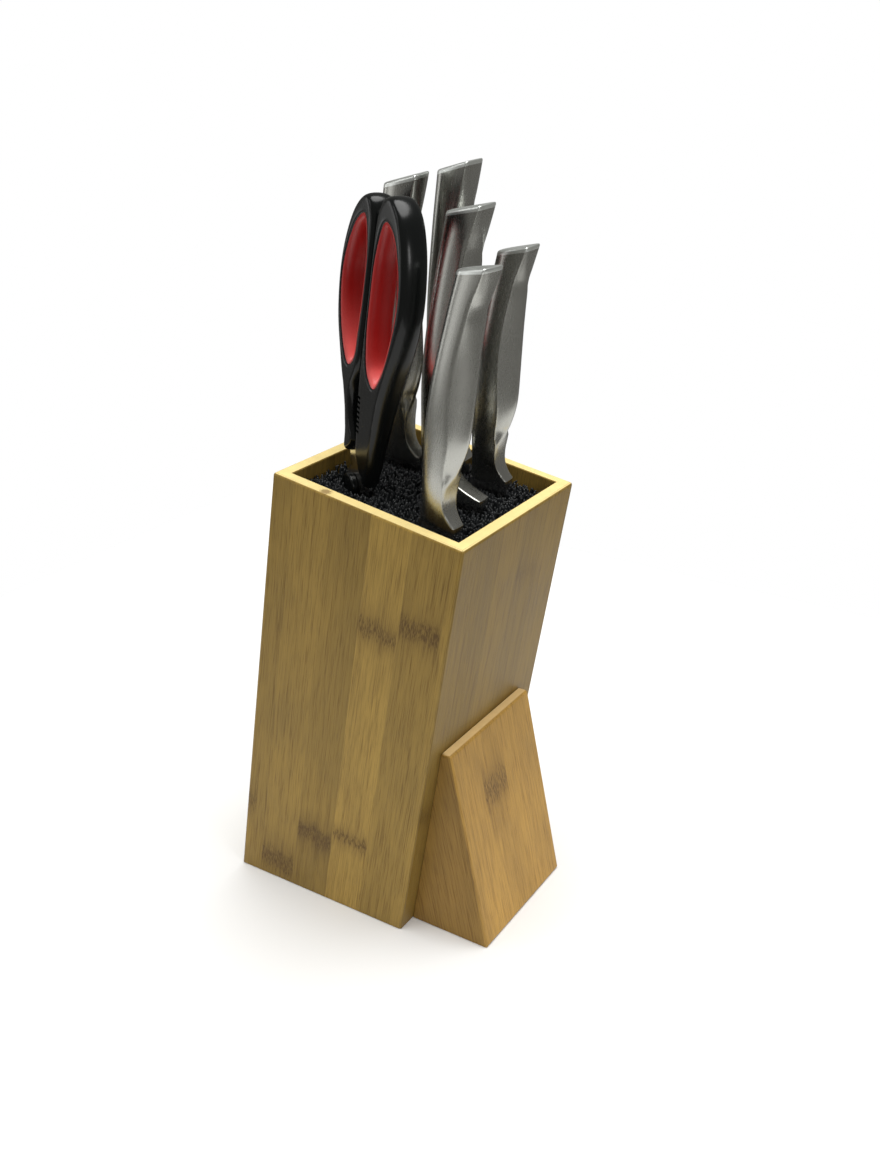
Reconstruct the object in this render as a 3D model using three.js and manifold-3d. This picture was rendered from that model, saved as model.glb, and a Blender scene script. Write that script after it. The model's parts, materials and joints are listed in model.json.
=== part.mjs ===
// A bamboo knife block with a bristle insert, five steel knives and a pair of kitchen shears.
// Millimetres, +Z up. The origin is on the table, under the middle of the block's foot print.
// The block leans towards +X and a wedge foot carries the lean. Cutting edges face +X.
import * as THREE from 'three';
import * as BufferGeometryUtils from 'three/addons/utils/BufferGeometryUtils.js';
import Module from 'manifold-3d';

const wasm = await Module();
wasm.setup();

// ---------- driving dimensions ----------

const CLEARANCE = 0.3; // between pieces that touch
const CUT_MARGIN = 1; // by which a cutting tool passes the face that it cuts through
const TABLE = 0; // height of the surface that the block stands on

const BLOCK = {
  width: 105, // across the lean, outside
  depth: 105, // front to back, outside
  height: 231.4, // along the block's own axis
  lean: THREE.MathUtils.degToRad(9.3),
  wall: 6.6,
  base: 8, // base board, at its thinnest
};

const WEDGE = {
  width: 78.3, // front to back
  offset: -1.8, // of its middle from the block's middle
  reach: 45.1, // along the table, from the block's lower edge
  height: 105.9,
  top: 4.9, // flat strip along the ridge
  round: 2.5,
};

const INSERT = {
  recess: 6.7, // from the rim down to the bristle tips
  trayFloor: 2.5,
  trayWall: 1.6,
  trayHeight: 16,
  slack: 0.5, // round the tray, inside the block
  slotClearance: 0.6, // round each blade
};

const HANDLE = {
  shell: 1.2, // sheet thickness
  cap: 2.2, // end plate
  guardTip: 3.2, // height of the guard's flat end
  guardRise: 12, // height of the hollow above it
  guardSteps: [5, 7.5, 10.5], // heights at which the hollow is sampled
  guardHollow: 2.4, // power of the hollow's curve
  ridge: 0.7, // where the handle is thickest, from spine to belly
  footCorner: 5, // powers of the rounded cross-section: belly side at the foot,
  bellyCorner: 2.3, // belly side further up
  spineCorner: 2.6, // and spine side
  slantFrom: 0.8, // share of the length from which the cross-sections tilt towards the butt
  buttSlant: Math.tan(THREE.MathUtils.degToRad(17)),
  solid: 4, // height of solid metal over the guard
  sides: 20,
  steps: 12,
  innerSides: 12,
  innerSteps: 6,
};

// place is the share of the handle's width at which the tang's middle lies.
const TANG = { length: 24, width: 8, thickness: 2, place: 0.42, bite: 1 };

// Shares of a blade's length at which its edge and its spine start to curve, and the curves' pull.
const BLADE = { edgeFrom: 0.3, edgePull: 0.8, spineFrom: 0.75, spinePull: 0.92, edgeThickness: 0.2 };

// spine: the foot's spine corner, in half widths and half depths of the block, and rise its height
// over the bristle tips. spin turns the knife about its own length, lean tips it along X and roll
// along Y, in degrees. handle is its length, and blade the blade's as a share of the bristles' depth.
const KNIVES = [
  {
    name: 'bread_knife', spine: [-0.714, 0.305], rise: 1.2, spin: 9, lean: -6.8, roll: 1.5,
    handle: 135, width: 23, guard: 6, blade: 0.912, heel: 22, thickness: 2, tip: 0.35,
  },
  {
    name: 'carving_knife', spine: [-0.324, 0.648], rise: 1.2, spin: 3, lean: -8.2, roll: 1,
    handle: 143, width: 23, guard: 3.5, blade: 0.903, heel: 20, thickness: 2.2, tip: 0.5,
  },
  {
    name: 'chef_knife', spine: [-0.029, -0.038], rise: 1.5, spin: 4, lean: -3.6, roll: 0,
    handle: 133.5, width: 23.5, guard: 17, blade: 0.883, heel: 33, thickness: 2.4, tip: 0.8,
  },
  {
    name: 'utility_knife', spine: [0.181, 0.486], rise: 3.6, spin: 4, lean: -3.4, roll: -0.5,
    handle: 113, width: 21, guard: 6, blade: 0.592, heel: 20, thickness: 1.8, tip: 0.5,
  },
  {
    name: 'paring_knife', spine: [0.347, -0.638], rise: 4.2, spin: -4, lean: 0, roll: 0,
    handle: 117, width: 20.5, guard: 6.5, blade: 0.446, heel: 19, thickness: 1.8, tip: 0.5,
  },
];

const SHEARS = {
  pivot: [-0.514, -0.371], // in half widths and half depths of the block
  rise: -0.8, // of the pivot over the bristle tips
  spin: THREE.MathUtils.degToRad(-29),
  blade: 0.466, // from the pivot down to the points, as a share of the bristles' depth
  bladeWidth: 12,
  bladeThickness: 2.2,
  overlap: 0.25, // share of the blade's width by which the shut blades cover each other
  boss: 8.5, // radius of the blade round the pivot
  handleThickness: 13,
  neck: 62, // height at which the handles reach their full thickness
  neckShare: 0.6, // of that thickness, by the pivot
  seam: 0.7, // between the closed handles
  grip: 2.6, // soft lining of the finger loops
  gripThickness: 12,
  handleBevel: 1.5,
  gripBevel: 0.8,
  pinRadius: 2.6,
  headRadius: 6.2,
  headHeight: 3,
  nutRadius: 5,
  nutHeight: 2.4,
};

// The shears' tang above the pivot, as [x, z] on the handle's side: its inner and its outer edge.
const SHEARS_TANG = { inner: [[-1.5, 10], [2.5, 22], [5.5, 46]], outer: [[13, 46], [12.5, 18]] };

// Notches of the nutcracker, in the large handle's inner edge.
const TEETH = { count: 8, first: 29, pitch: 2.4, depth: 2.6, height: 1.2 };

// The pivot's domed head, as shares of its radius and height.
const HEAD_PROFILE = [[1, 0], [1, 0.4], [0.85, 0.8], [0.5, 1], [0, 1]];

const BEVEL_WIDTH = 0.8; // of a bevel, over its depth
const STRAIGHT = 1e-3; // mm², the bend below which a sampled point is left out of an outline

// ---------- colours and finishes ----------

const BAMBOO = { color: 0xb89b62, roughness: 0.55, metalness: 0 };
const STEEL_SATIN = { color: 0xa9a79c, roughness: 0.36, metalness: 1 };
const STEEL_BRIGHT = { color: 0xd8d8d2, roughness: 0.14, metalness: 1 };
const BRISTLE = { color: 0x16181a, roughness: 0.5, metalness: 0 };
const GLOSS_BLACK = { color: 0x101214, roughness: 0.2, metalness: 0 };
const SOFT_RED = { color: 0xc02f33, roughness: 0.5, metalness: 0 };

// ---------- solids ----------

function toSolid(geometry) {
  const bare = geometry.index ? geometry.toNonIndexed() : geometry.clone();
  bare.deleteAttribute('normal');
  bare.deleteAttribute('uv');
  const merged = BufferGeometryUtils.mergeVertices(bare, 1e-4);
  return new wasm.Manifold(new wasm.Mesh({
    numProp: 3,
    vertProperties: new Float32Array(merged.attributes.position.array),
    triVerts: new Uint32Array(merged.index.array),
  }));
}

function toGeometry(solid) {
  const mesh = solid.getMesh();
  const geometry = new THREE.BufferGeometry();
  geometry.setAttribute('position', new THREE.BufferAttribute(new Float32Array(mesh.vertProperties), 3));
  geometry.setIndex(new THREE.BufferAttribute(new Uint32Array(mesh.triVerts), 1));
  geometry.computeVertexNormals();
  return geometry;
}

function cut(geometry, ...tools) {
  let solid = toSolid(geometry);
  for (const tool of tools) {
    solid = solid.subtract(toSolid(tool));
  }
  return toGeometry(solid);
}

// A box from its lowest to its highest corner.
function span([x0, y0, z0], [x1, y1, z1]) {
  const geometry = new THREE.BoxGeometry(x1 - x0, y1 - y0, z1 - z0);
  return geometry.translate((x0 + x1) / 2, (y0 + y1) / 2, (z0 + z1) / 2);
}

// An outline in the XZ plane, extruded along Y about the middle plane or between y0 and y1.
function plate(shape, y0, y1, options = {}) {
  const bevel = options.bevel ?? 0;
  const geometry = new THREE.ExtrudeGeometry(shape, {
    depth: y1 - y0 - 2 * bevel,
    bevelEnabled: bevel > 0,
    bevelThickness: bevel,
    bevelSize: bevel * BEVEL_WIDTH,
    bevelOffset: -bevel * BEVEL_WIDTH,
    bevelSegments: 2,
    curveSegments: options.curveSegments ?? 6,
  });
  return geometry.translate(0, 0, bevel).rotateX(Math.PI / 2).translate(0, y1, 0);
}

// A value read off a smooth curve through [place, value] pairs.
function through(pairs, place) {
  const last = pairs.length - 1;
  let i = 0;
  while (i < last - 1 && place > pairs[i + 1][0]) {
    i += 1;
  }
  const slope = (k) => {
    const a = pairs[Math.max(k - 1, 0)];
    const b = pairs[Math.min(k + 1, last)];
    return (b[1] - a[1]) / (b[0] - a[0]);
  };
  const [x0, v0] = pairs[i];
  const [x1, v1] = pairs[i + 1];
  const width = x1 - x0;
  const t = (place - x0) / width;
  const rise = v1 - v0;
  const s0 = slope(i) * width;
  const s1 = slope(i + 1) * width;
  return v0 + t * (s0 + t * (3 * rise - 2 * s0 - s1 + t * (s0 + s1 - 2 * rise)));
}

// A closed smooth outline through points, kept at x >= 0, without the points on a straight run.
function loop(points, samples) {
  const curve = new THREE.CatmullRomCurve3(points.map(([x, z]) => new THREE.Vector3(x, z, 0)), true);
  const line = curve.getPoints(samples).slice(0, -1).map((p) => new THREE.Vector2(Math.max(p.x, 0), p.y));
  return line.filter((p, i) => {
    const before = line[(i + line.length - 1) % line.length];
    const after = line[(i + 1) % line.length];
    return Math.abs(p.clone().sub(before).cross(after.clone().sub(p))) > STRAIGHT;
  });
}

function addMesh(group, name, geometry, finish) {
  const mesh = new THREE.Mesh(geometry, new THREE.MeshStandardMaterial(finish));
  mesh.name = name;
  group.add(mesh);
}

// ---------- block ----------

const tanLean = Math.tan(BLOCK.lean);
const halfWidth = BLOCK.width / 2;
const halfDepth = BLOCK.depth / 2;
const innerWidth = halfWidth - BLOCK.wall;
const innerDepth = halfDepth - BLOCK.wall;
const baseTop = innerWidth * tanLean + BLOCK.base;
const trayBottom = baseTop + CLEARANCE;
const bristleBottom = trayBottom + INSERT.trayFloor + CLEARANCE;
const bristleTop = BLOCK.height - INSERT.recess;
const bristleDepth = bristleTop - bristleBottom;

const block = new THREE.Group();
block.rotation.y = BLOCK.lean;

// Everything below the table, in the block's axes.
function underTable() {
  const reach = BLOCK.width + BLOCK.depth;
  return span([-reach, -reach, -reach], [reach, reach, TABLE]).rotateY(-BLOCK.lean);
}

// A wall board with mitred ends: side 0 faces -Y, and each next side is a quarter turn on.
function wallBoard(quarter) {
  const alongX = quarter % 2 === 0;
  const half = alongX ? halfWidth : halfDepth;
  const face = alongX ? halfDepth : halfWidth;
  const gap = CLEARANCE / Math.SQRT2;
  const plan = new THREE.Shape([
    new THREE.Vector2(-half + gap, -face),
    new THREE.Vector2(half - gap, -face),
    new THREE.Vector2(half - BLOCK.wall - gap, -face + BLOCK.wall),
    new THREE.Vector2(-half + BLOCK.wall + gap, -face + BLOCK.wall),
  ]);
  const below = halfWidth * tanLean + CUT_MARGIN;
  const geometry = new THREE.ExtrudeGeometry(plan, { depth: BLOCK.height + below, bevelEnabled: false });
  geometry.translate(0, 0, -below).rotateZ(quarter * Math.PI / 2);
  return cut(geometry, underTable());
}

['front_board', 'right_board', 'back_board', 'left_board'].forEach((name, quarter) => {
  addMesh(block, name, wallBoard(quarter), BAMBOO);
});

const baseHalf = innerWidth - CLEARANCE;
const baseHalfDepth = innerDepth - CLEARANCE;
const baseBoard = span([-baseHalf, -baseHalfDepth, -baseTop], [baseHalf, baseHalfDepth, baseTop]);
addMesh(block, 'base_board', cut(baseBoard, underTable()), BAMBOO);

function wedgeFoot() {
  const foot = halfWidth / Math.cos(BLOCK.lean) + CLEARANCE;
  const innerTop = foot + WEDGE.height * tanLean;
  const toe = foot + WEDGE.reach;
  const r = WEDGE.round;
  const shoulder = innerTop + WEDGE.top;
  const slope = new THREE.Vector2(toe - shoulder, -WEDGE.height).normalize();
  const profile = new THREE.Shape();
  profile.moveTo(foot, TABLE);
  profile.lineTo(toe - r, TABLE);
  profile.quadraticCurveTo(toe, TABLE, toe - slope.x * r, TABLE - slope.y * r);
  profile.lineTo(shoulder + slope.x * r, WEDGE.height + slope.y * r);
  profile.quadraticCurveTo(shoulder, WEDGE.height, shoulder - r, WEDGE.height);
  profile.lineTo(innerTop, WEDGE.height);
  profile.closePath();
  return plate(profile, WEDGE.offset - WEDGE.width / 2, WEDGE.offset + WEDGE.width / 2);
}

// ---------- knives ----------

// Outlines as shares of the handle's width, at shares of its length.
const SPINE = [[0, 0], [0.08, 0], [0.25, -0.08], [0.4, -0.14], [0.55, -0.13], [0.75, -0.05], [1, 0.08]];
const BELLY = [
  [0, 0.72], [0.1, 0.69], [0.16, 0.69], [0.22, 0.76], [0.31, 0.89], [0.38, 0.94],
  [0.5, 0.92], [0.57, 0.9], [0.72, 0.86], [0.9, 0.84], [1, 0.9],
];
const HALF_THICKNESS = [
  [0, 0.2], [0.05, 0.23], [0.12, 0.28], [0.25, 0.35], [0.42, 0.4], [0.6, 0.4], [0.8, 0.37], [1, 0.35],
];

// The handle's cross-section at a height: spine, belly, half thickness and corner shape.
function section(knife, height) {
  const s = height / knife.handle;
  const hollow = THREE.MathUtils.clamp((height - HANDLE.guardTip) / HANDLE.guardRise, 0, 1);
  const fromFoot = THREE.MathUtils.smoothstep(s, 0, 0.2);
  return {
    spine: knife.width * through(SPINE, s),
    belly: knife.width * through(BELLY, s) + knife.guard * (1 - hollow) ** HANDLE.guardHollow,
    half: knife.width * through(HALF_THICKNESS, s),
    corner: THREE.MathUtils.lerp(HANDLE.footCorner, HANDLE.bellyCorner, fromFoot),
    slant: HANDLE.buttSlant * THREE.MathUtils.smoothstep(s, HANDLE.slantFrom, 1),
  };
}

// A point on the cross-section: reach 1 is its outline, 0 its middle.
function sectionPoint(knife, height, angle, reach, inset) {
  const at = section(knife, height);
  const middle = THREE.MathUtils.lerp(at.spine, at.belly, HANDLE.ridge);
  const c = Math.cos(angle);
  const s = Math.sin(angle);
  const width = (c > 0 ? at.belly - middle : middle - at.spine) - inset;
  const power = 2 / (c > 0 ? at.corner : HANDLE.spineCorner);
  const x = middle + reach * width * Math.sign(c) * Math.abs(c) ** power;
  const y = reach * (at.half - inset) * Math.sign(s) * Math.abs(s) ** power;
  return [x, y, height + at.slant * (x - (at.spine + at.belly) / 2)];
}

// A closed body through the handle's cross-sections at the given heights.
function loft(knife, heights, sides, inset) {
  const geometry = new THREE.CylinderGeometry(1, 1, 1, sides, heights.length - 1);
  const position = geometry.attributes.position;
  for (let i = 0; i < position.count; i += 1) {
    const step = Math.round((0.5 - position.getY(i)) * (heights.length - 1));
    const angle = Math.atan2(position.getX(i), position.getZ(i));
    const reach = Math.round(Math.hypot(position.getX(i), position.getZ(i)));
    const height = heights[heights.length - 1 - step];
    position.setXYZ(i, ...sectionPoint(knife, height, angle, reach, inset));
  }
  return geometry;
}

function spread(from, to, steps) {
  return Array.from({ length: steps + 1 }, (_, i) => THREE.MathUtils.lerp(from, to, i / steps));
}

function tangBox(knife, clearance) {
  const middle = knife.width * TANG.place;
  const half = TANG.width / 2 + clearance;
  const thick = TANG.thickness / 2 + clearance;
  return span(
    [middle - half, -thick, -CLEARANCE - TANG.bite],
    [middle + half, thick, TANG.length + clearance],
  );
}

function handleShell(knife) {
  const top = knife.handle - HANDLE.cap - CLEARANCE;
  const guardTop = HANDLE.guardTip + HANDLE.guardRise;
  const guard = [0, HANDLE.guardTip, ...HANDLE.guardSteps];
  const outer = loft(knife, [...guard, ...spread(guardTop, top, HANDLE.steps)], HANDLE.sides, 0);
  const inside = [...spread(guardTop + HANDLE.solid, top, HANDLE.innerSteps), top + HANDLE.cap];
  const cavity = loft(knife, inside, HANDLE.innerSides, HANDLE.shell);
  return cut(outer, cavity, tangBox(knife, CLEARANCE));
}

function endCap(knife) {
  return loft(knife, [knife.handle - HANDLE.cap, knife.handle], HANDLE.sides, 0);
}

// The blade hangs below the foot: straight spine at x = 0, edge towards +X.
function bladeShape({ heel, tip }, length) {
  const shape = new THREE.Shape();
  shape.moveTo(0, -CLEARANCE);
  shape.lineTo(heel, -CLEARANCE);
  shape.lineTo(heel, -length * BLADE.edgeFrom);
  shape.quadraticCurveTo(heel, -length * BLADE.edgePull, heel * (1 - tip), -length);
  shape.quadraticCurveTo(0, -length * BLADE.spinePull, 0, -length * BLADE.spineFrom);
  shape.closePath();
  return shape;
}

function blade(knife) {
  const half = knife.thickness / 2;
  const shape = bladeShape(knife, knife.blade * bristleDepth);
  const flat = plate(shape, -half, half, { curveSegments: 8 });
  const position = flat.attributes.position;
  for (let i = 0; i < position.count; i += 1) {
    const toEdge = THREE.MathUtils.clamp(position.getX(i) / knife.heel, 0, 1);
    position.setY(i, position.getY(i) * THREE.MathUtils.lerp(1, BLADE.edgeThickness, toEdge));
  }
  const tang = toSolid(tangBox(knife, 0));
  return toGeometry(toSolid(flat).add(tang));
}

// The slot that a blade leaves in the bristles, open at the top.
function bladeSlot(knife) {
  const c = INSERT.slotClearance;
  const half = knife.thickness / 2 + c;
  const bottom = -knife.blade * bristleDepth - c;
  const slot = span([-c, -half, bottom], [knife.heel + c, half, INSERT.recess]);
  return slot.applyMatrix4(knifePlace(knife));
}

function knifePlace(knife) {
  const turn = new THREE.Euler(
    THREE.MathUtils.degToRad(knife.roll),
    THREE.MathUtils.degToRad(knife.lean),
    THREE.MathUtils.degToRad(knife.spin),
    'YXZ',
  );
  const [x, y] = knife.spine;
  return new THREE.Matrix4()
    .makeRotationFromEuler(turn)
    .setPosition(x * halfWidth, y * halfDepth, bristleTop + knife.rise);
}

for (const knife of KNIVES) {
  const group = new THREE.Group();
  knifePlace(knife).decompose(group.position, group.quaternion, group.scale);
  addMesh(group, `${knife.name}_blade`, blade(knife), STEEL_SATIN);
  addMesh(group, `${knife.name}_handle`, handleShell(knife), STEEL_SATIN);
  addMesh(group, `${knife.name}_end_cap`, endCap(knife), STEEL_BRIGHT);
  block.add(group);
}

// ---------- shears ----------

// Loops as they lie when the shears are shut. side is +1 for the large loop and -1 for the small.
const LARGE = {
  side: 1,
  outline: [
    [0, 20], [0, 50], [0, 90], [0, 120], [1.5, 131], [6, 137.5], [12.5, 138.5], [21, 133], [28, 121],
    [32, 104], [32.3, 90], [29.5, 75], [24.5, 58], [20.5, 42], [18, 25], [16.5, 12], [13.5, 4.5],
    [8.5, 7], [3, 13],
  ],
  hole: [
    [3, 92], [4, 113], [9.5, 127.5], [17.5, 125], [25.5, 112], [28.5, 98], [26.5, 80], [21, 62],
    [15, 55], [8, 60], [4, 74],
  ],
};
const SMALL = {
  side: -1,
  outline: [
    [1, 22], [5, 33], [5.5, 46], [0.5, 60], [0, 90], [0, 118], [1.5, 128], [6, 134], [12, 134.5], [20, 128],
    [26.5, 115], [29.6, 98], [27.5, 76], [20, 56], [14, 40], [11.5, 25], [11, 14.5], [6, 15.5],
  ],
  hole: [
    [3, 95], [4, 113], [9.5, 126], [16, 122.5], [22.5, 111], [26, 96], [23.5, 78], [17, 63],
    [11, 57], [5.5, 62], [4, 76],
  ],
};

// A loop's outline on its own side of the seam, moved out by grow.
function shearsLoop(points, side, grow) {
  const line = loop(points, points.length * 3);
  const moved = line.map((p, i) => {
    const before = line[(i + line.length - 1) % line.length];
    const after = line[(i + 1) % line.length];
    const along = after.clone().sub(before).normalize();
    return new THREE.Vector2(side * (p.x + SHEARS.seam / 2 - along.y * grow), p.y + along.x * grow);
  });
  return side > 0 ? moved : moved.reverse();
}

// The space between two outlines that run the same way round.
function ring(outer, inner) {
  const shape = new THREE.Shape(outer);
  shape.holes.push(new THREE.Path(inner.toReversed()));
  return shape;
}

// One blade with its tang, shut: the blade lies across from its handle's side. grow widens the tang.
function shearsBladeShape(side, grow) {
  const { boss, bladeWidth } = SHEARS;
  const length = SHEARS.blade * bristleDepth;
  const edge = bladeWidth * SHEARS.overlap;
  const back = bladeWidth - edge;
  const p = (x, z) => new THREE.Vector2(side * x, z);
  const inner = SHEARS_TANG.inner.map(([x, z]) => p(x - grow, z));
  const outer = SHEARS_TANG.outer.map(([x, z]) => p(x + grow, z));
  inner[inner.length - 1].y += grow;
  outer[0].y += grow;
  const shape = new THREE.Shape([...inner, ...outer, p(boss + grow, boss * 0.35)]);
  shape.quadraticCurveTo(...p(boss + grow, -boss), ...p(edge, -boss * 1.8));
  shape.lineTo(...p(edge * 0.2, -length));
  shape.quadraticCurveTo(...p(-back * 0.7, -length * 0.8), ...p(-back, -length * 0.55));
  shape.lineTo(...p(-back, -boss * 1.4));
  shape.quadraticCurveTo(...p(-boss, -boss * 0.7), ...p(-boss, 0));
  shape.quadraticCurveTo(...p(-boss, boss * 0.8), ...inner[0]);
  return shape;
}

// The layer that a blade lies in: the large half in front, the small half behind.
function layer(side, grow) {
  const near = CLEARANCE / 2;
  const far = near + SHEARS.bladeThickness;
  const [y0, y1] = side > 0 ? [-far, -near] : [near, far];
  return [y0 - grow, y1 + grow];
}

// A cylinder along Y from y0 to y1.
function pin(radius, y0, y1, sides = 24) {
  return new THREE.CylinderGeometry(radius, radius, y1 - y0, sides).translate(0, (y0 + y1) / 2, 0);
}

function shearsBlade(side) {
  const flat = plate(shearsBladeShape(side, 0), ...layer(side, 0));
  const reach = SHEARS.handleThickness;
  return cut(flat, pin(SHEARS.pinRadius + CLEARANCE, -reach, reach));
}

function shearsHandle(half) {
  const outer = shearsLoop(half.outline, half.side, 0);
  const hole = shearsLoop(half.hole, half.side, 0);
  const deep = SHEARS.handleThickness;
  const body = plate(ring(outer, hole), -deep / 2, deep / 2, { bevel: SHEARS.handleBevel });
  const position = body.attributes.position;
  for (let i = 0; i < position.count; i += 1) {
    const full = THREE.MathUtils.smoothstep(position.getZ(i), 0, SHEARS.neck);
    position.setY(i, position.getY(i) * THREE.MathUtils.lerp(SHEARS.neckShare, 1, full));
  }
  const pocket = plate(shearsBladeShape(half.side, CLEARANCE), ...layer(half.side, CLEARANCE));
  const teeth = [];
  if (half === LARGE) {
    for (let i = 0; i < TEETH.count; i += 1) {
      const z = TEETH.first + i * TEETH.pitch;
      teeth.push(span([0, -deep, z], [SHEARS.seam / 2 + TEETH.depth, deep, z + TEETH.height]));
    }
  }
  return cut(body, pocket, ...teeth);
}

function shearsGrip(half) {
  const outer = shearsLoop(half.hole, half.side, -CLEARANCE);
  const inner = shearsLoop(half.hole, half.side, -CLEARANCE - SHEARS.grip);
  const deep = SHEARS.gripThickness;
  return plate(ring(outer, inner), -deep / 2, deep / 2, { bevel: SHEARS.gripBevel });
}

const pivotSeat = CLEARANCE * 1.5 + SHEARS.bladeThickness; // outer face of either blade, and a gap

function pivotScrew() {
  const { pinRadius, headRadius, headHeight, nutHeight } = SHEARS;
  const end = pivotSeat + nutHeight;
  const head = HEAD_PROFILE.map(([r, y]) => [r * headRadius, -pivotSeat - y * headHeight]);
  const profile = [[0, end], [pinRadius, end], [pinRadius, -pivotSeat], ...head];
  return new THREE.LatheGeometry(profile.map(([r, y]) => new THREE.Vector2(r, -y)), 24).rotateX(Math.PI);
}

function pivotNut() {
  const end = pivotSeat + SHEARS.nutHeight;
  const hole = pin(SHEARS.pinRadius + CLEARANCE, 0, end + CUT_MARGIN);
  return cut(pin(SHEARS.nutRadius, pivotSeat, end, 6), hole);
}

const shears = new THREE.Group();
shears.position.set(
  SHEARS.pivot[0] * halfWidth,
  SHEARS.pivot[1] * halfDepth,
  bristleTop + SHEARS.rise,
);
shears.rotation.z = SHEARS.spin;
addMesh(shears, 'shears_front_blade', shearsBlade(LARGE.side), STEEL_BRIGHT);
addMesh(shears, 'shears_large_handle', shearsHandle(LARGE), GLOSS_BLACK);
addMesh(shears, 'shears_large_grip', shearsGrip(LARGE), SOFT_RED);
addMesh(shears, 'pivot_screw', pivotScrew(), GLOSS_BLACK);
addMesh(shears, 'pivot_nut', pivotNut(), STEEL_SATIN);
addMesh(shears, 'shears_back_blade', shearsBlade(SMALL.side), STEEL_BRIGHT);
addMesh(shears, 'shears_small_handle', shearsHandle(SMALL), GLOSS_BLACK);
addMesh(shears, 'shears_small_grip', shearsGrip(SMALL), SOFT_RED);
block.add(shears);

// Room in the bristles for the shut blades and for the pivot's head and nut.
function shearsSlots() {
  const c = INSERT.slotClearance;
  const thick = layer(SMALL.side, c)[1];
  const wide = SHEARS.bladeWidth + c;
  const bottom = -SHEARS.blade * bristleDepth - c;
  const head = thick + SHEARS.headHeight + c;
  const round = SHEARS.boss + c;
  const place = new THREE.Matrix4().makeRotationZ(SHEARS.spin).setPosition(shears.position);
  return [
    span([-wide, -thick, bottom], [wide, thick, INSERT.recess]).applyMatrix4(place),
    span([-round, -head, -round], [round, head, INSERT.recess]).applyMatrix4(place),
  ];
}

// ---------- bristle insert ----------

const trayHalf = innerWidth - INSERT.slack;
const trayHalfDepth = innerDepth - INSERT.slack;
const trayInset = INSERT.trayWall + CLEARANCE;

function insertTray() {
  const outer = span(
    [-trayHalf, -trayHalfDepth, trayBottom],
    [trayHalf, trayHalfDepth, trayBottom + INSERT.trayHeight],
  );
  const room = span(
    [-trayHalf + INSERT.trayWall, -trayHalfDepth + INSERT.trayWall, trayBottom + INSERT.trayFloor],
    [trayHalf - INSERT.trayWall, trayHalfDepth - INSERT.trayWall, BLOCK.height],
  );
  return cut(outer, room);
}

function bristles() {
  const bundle = span(
    [-trayHalf + trayInset, -trayHalfDepth + trayInset, bristleBottom],
    [trayHalf - trayInset, trayHalfDepth - trayInset, bristleTop],
  );
  return cut(bundle, ...KNIVES.map(bladeSlot), ...shearsSlots());
}

addMesh(block, 'insert_tray', insertTray(), BRISTLE);
addMesh(block, 'bristles', bristles(), BRISTLE);

const knifeBlock = new THREE.Group();
addMesh(knifeBlock, 'wedge_foot', wedgeFoot(), BAMBOO);
knifeBlock.add(block);

export default knifeBlock;
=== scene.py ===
"""The looks of a bamboo knife block: bristle insert, five steel knives and kitchen shears."""

import json
import math
import random
from collections import namedtuple

import bmesh
import bpy
from bpy.props import FloatProperty, FloatVectorProperty, IntProperty, PointerProperty
from mathutils import Matrix, Vector


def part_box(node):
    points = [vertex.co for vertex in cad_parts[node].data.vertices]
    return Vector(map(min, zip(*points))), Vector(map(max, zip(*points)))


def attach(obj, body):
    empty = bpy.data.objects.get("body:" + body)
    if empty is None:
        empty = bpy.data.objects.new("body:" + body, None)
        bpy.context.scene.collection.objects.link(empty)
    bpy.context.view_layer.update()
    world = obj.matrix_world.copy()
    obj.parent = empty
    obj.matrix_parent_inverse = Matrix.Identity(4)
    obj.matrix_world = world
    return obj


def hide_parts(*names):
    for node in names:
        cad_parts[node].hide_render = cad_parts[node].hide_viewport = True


bl_info = {
    "name": "Knife Block",
    "version": (1, 0, 0),
    "blender": (4, 5, 0),
    "location": "3D View > Sidebar > Knife Block",
    "description": "Builds the looks of a knife block with its knives and shears",
    "category": "Object",
}

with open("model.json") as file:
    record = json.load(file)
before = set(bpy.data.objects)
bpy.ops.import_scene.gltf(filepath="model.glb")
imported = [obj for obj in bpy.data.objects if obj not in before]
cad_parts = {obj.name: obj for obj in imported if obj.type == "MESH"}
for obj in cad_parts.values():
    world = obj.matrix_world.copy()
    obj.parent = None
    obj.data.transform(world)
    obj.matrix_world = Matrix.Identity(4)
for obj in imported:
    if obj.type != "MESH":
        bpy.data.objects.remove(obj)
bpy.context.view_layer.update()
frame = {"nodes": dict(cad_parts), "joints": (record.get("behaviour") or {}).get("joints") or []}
NODES = frame["nodes"]
JOINTS = {joint["name"]: joint for joint in frame["joints"]}

MM = 0.001
IN_MM = (1 / MM, 1 / MM, 1 / MM)  # scale of a pattern that is set out in millimetres

# The block's own axes: Z runs up the block, which leans towards +X.
UP = Vector(JOINTS["insert_lift"]["axis"])
LEAN = math.atan2(UP.x, UP.z)
TO_ROW = Matrix.Rotation(LEAN, 4, "Y")
TO_BLOCK = TO_ROW.inverted()


def block_box(node):
    """Lowest and highest corner of a CAD node in the block's own axes."""
    points = [TO_BLOCK @ v.co for v in NODES[node].data.vertices]
    lo = Vector(min(p[i] for p in points) for i in range(3))
    hi = Vector(max(p[i] for p in points) for i in range(3))
    return lo, hi


RIM = block_box("front_board")[1].z
HALF_DEPTH = -block_box("front_board")[0].y
HALF_WIDTH = block_box("right_board")[1].x
WALL = block_box("front_board")[1].y + HALF_DEPTH
BRISTLE_TOP = block_box("bristles")[1].z


# ---------- settings ----------


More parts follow.
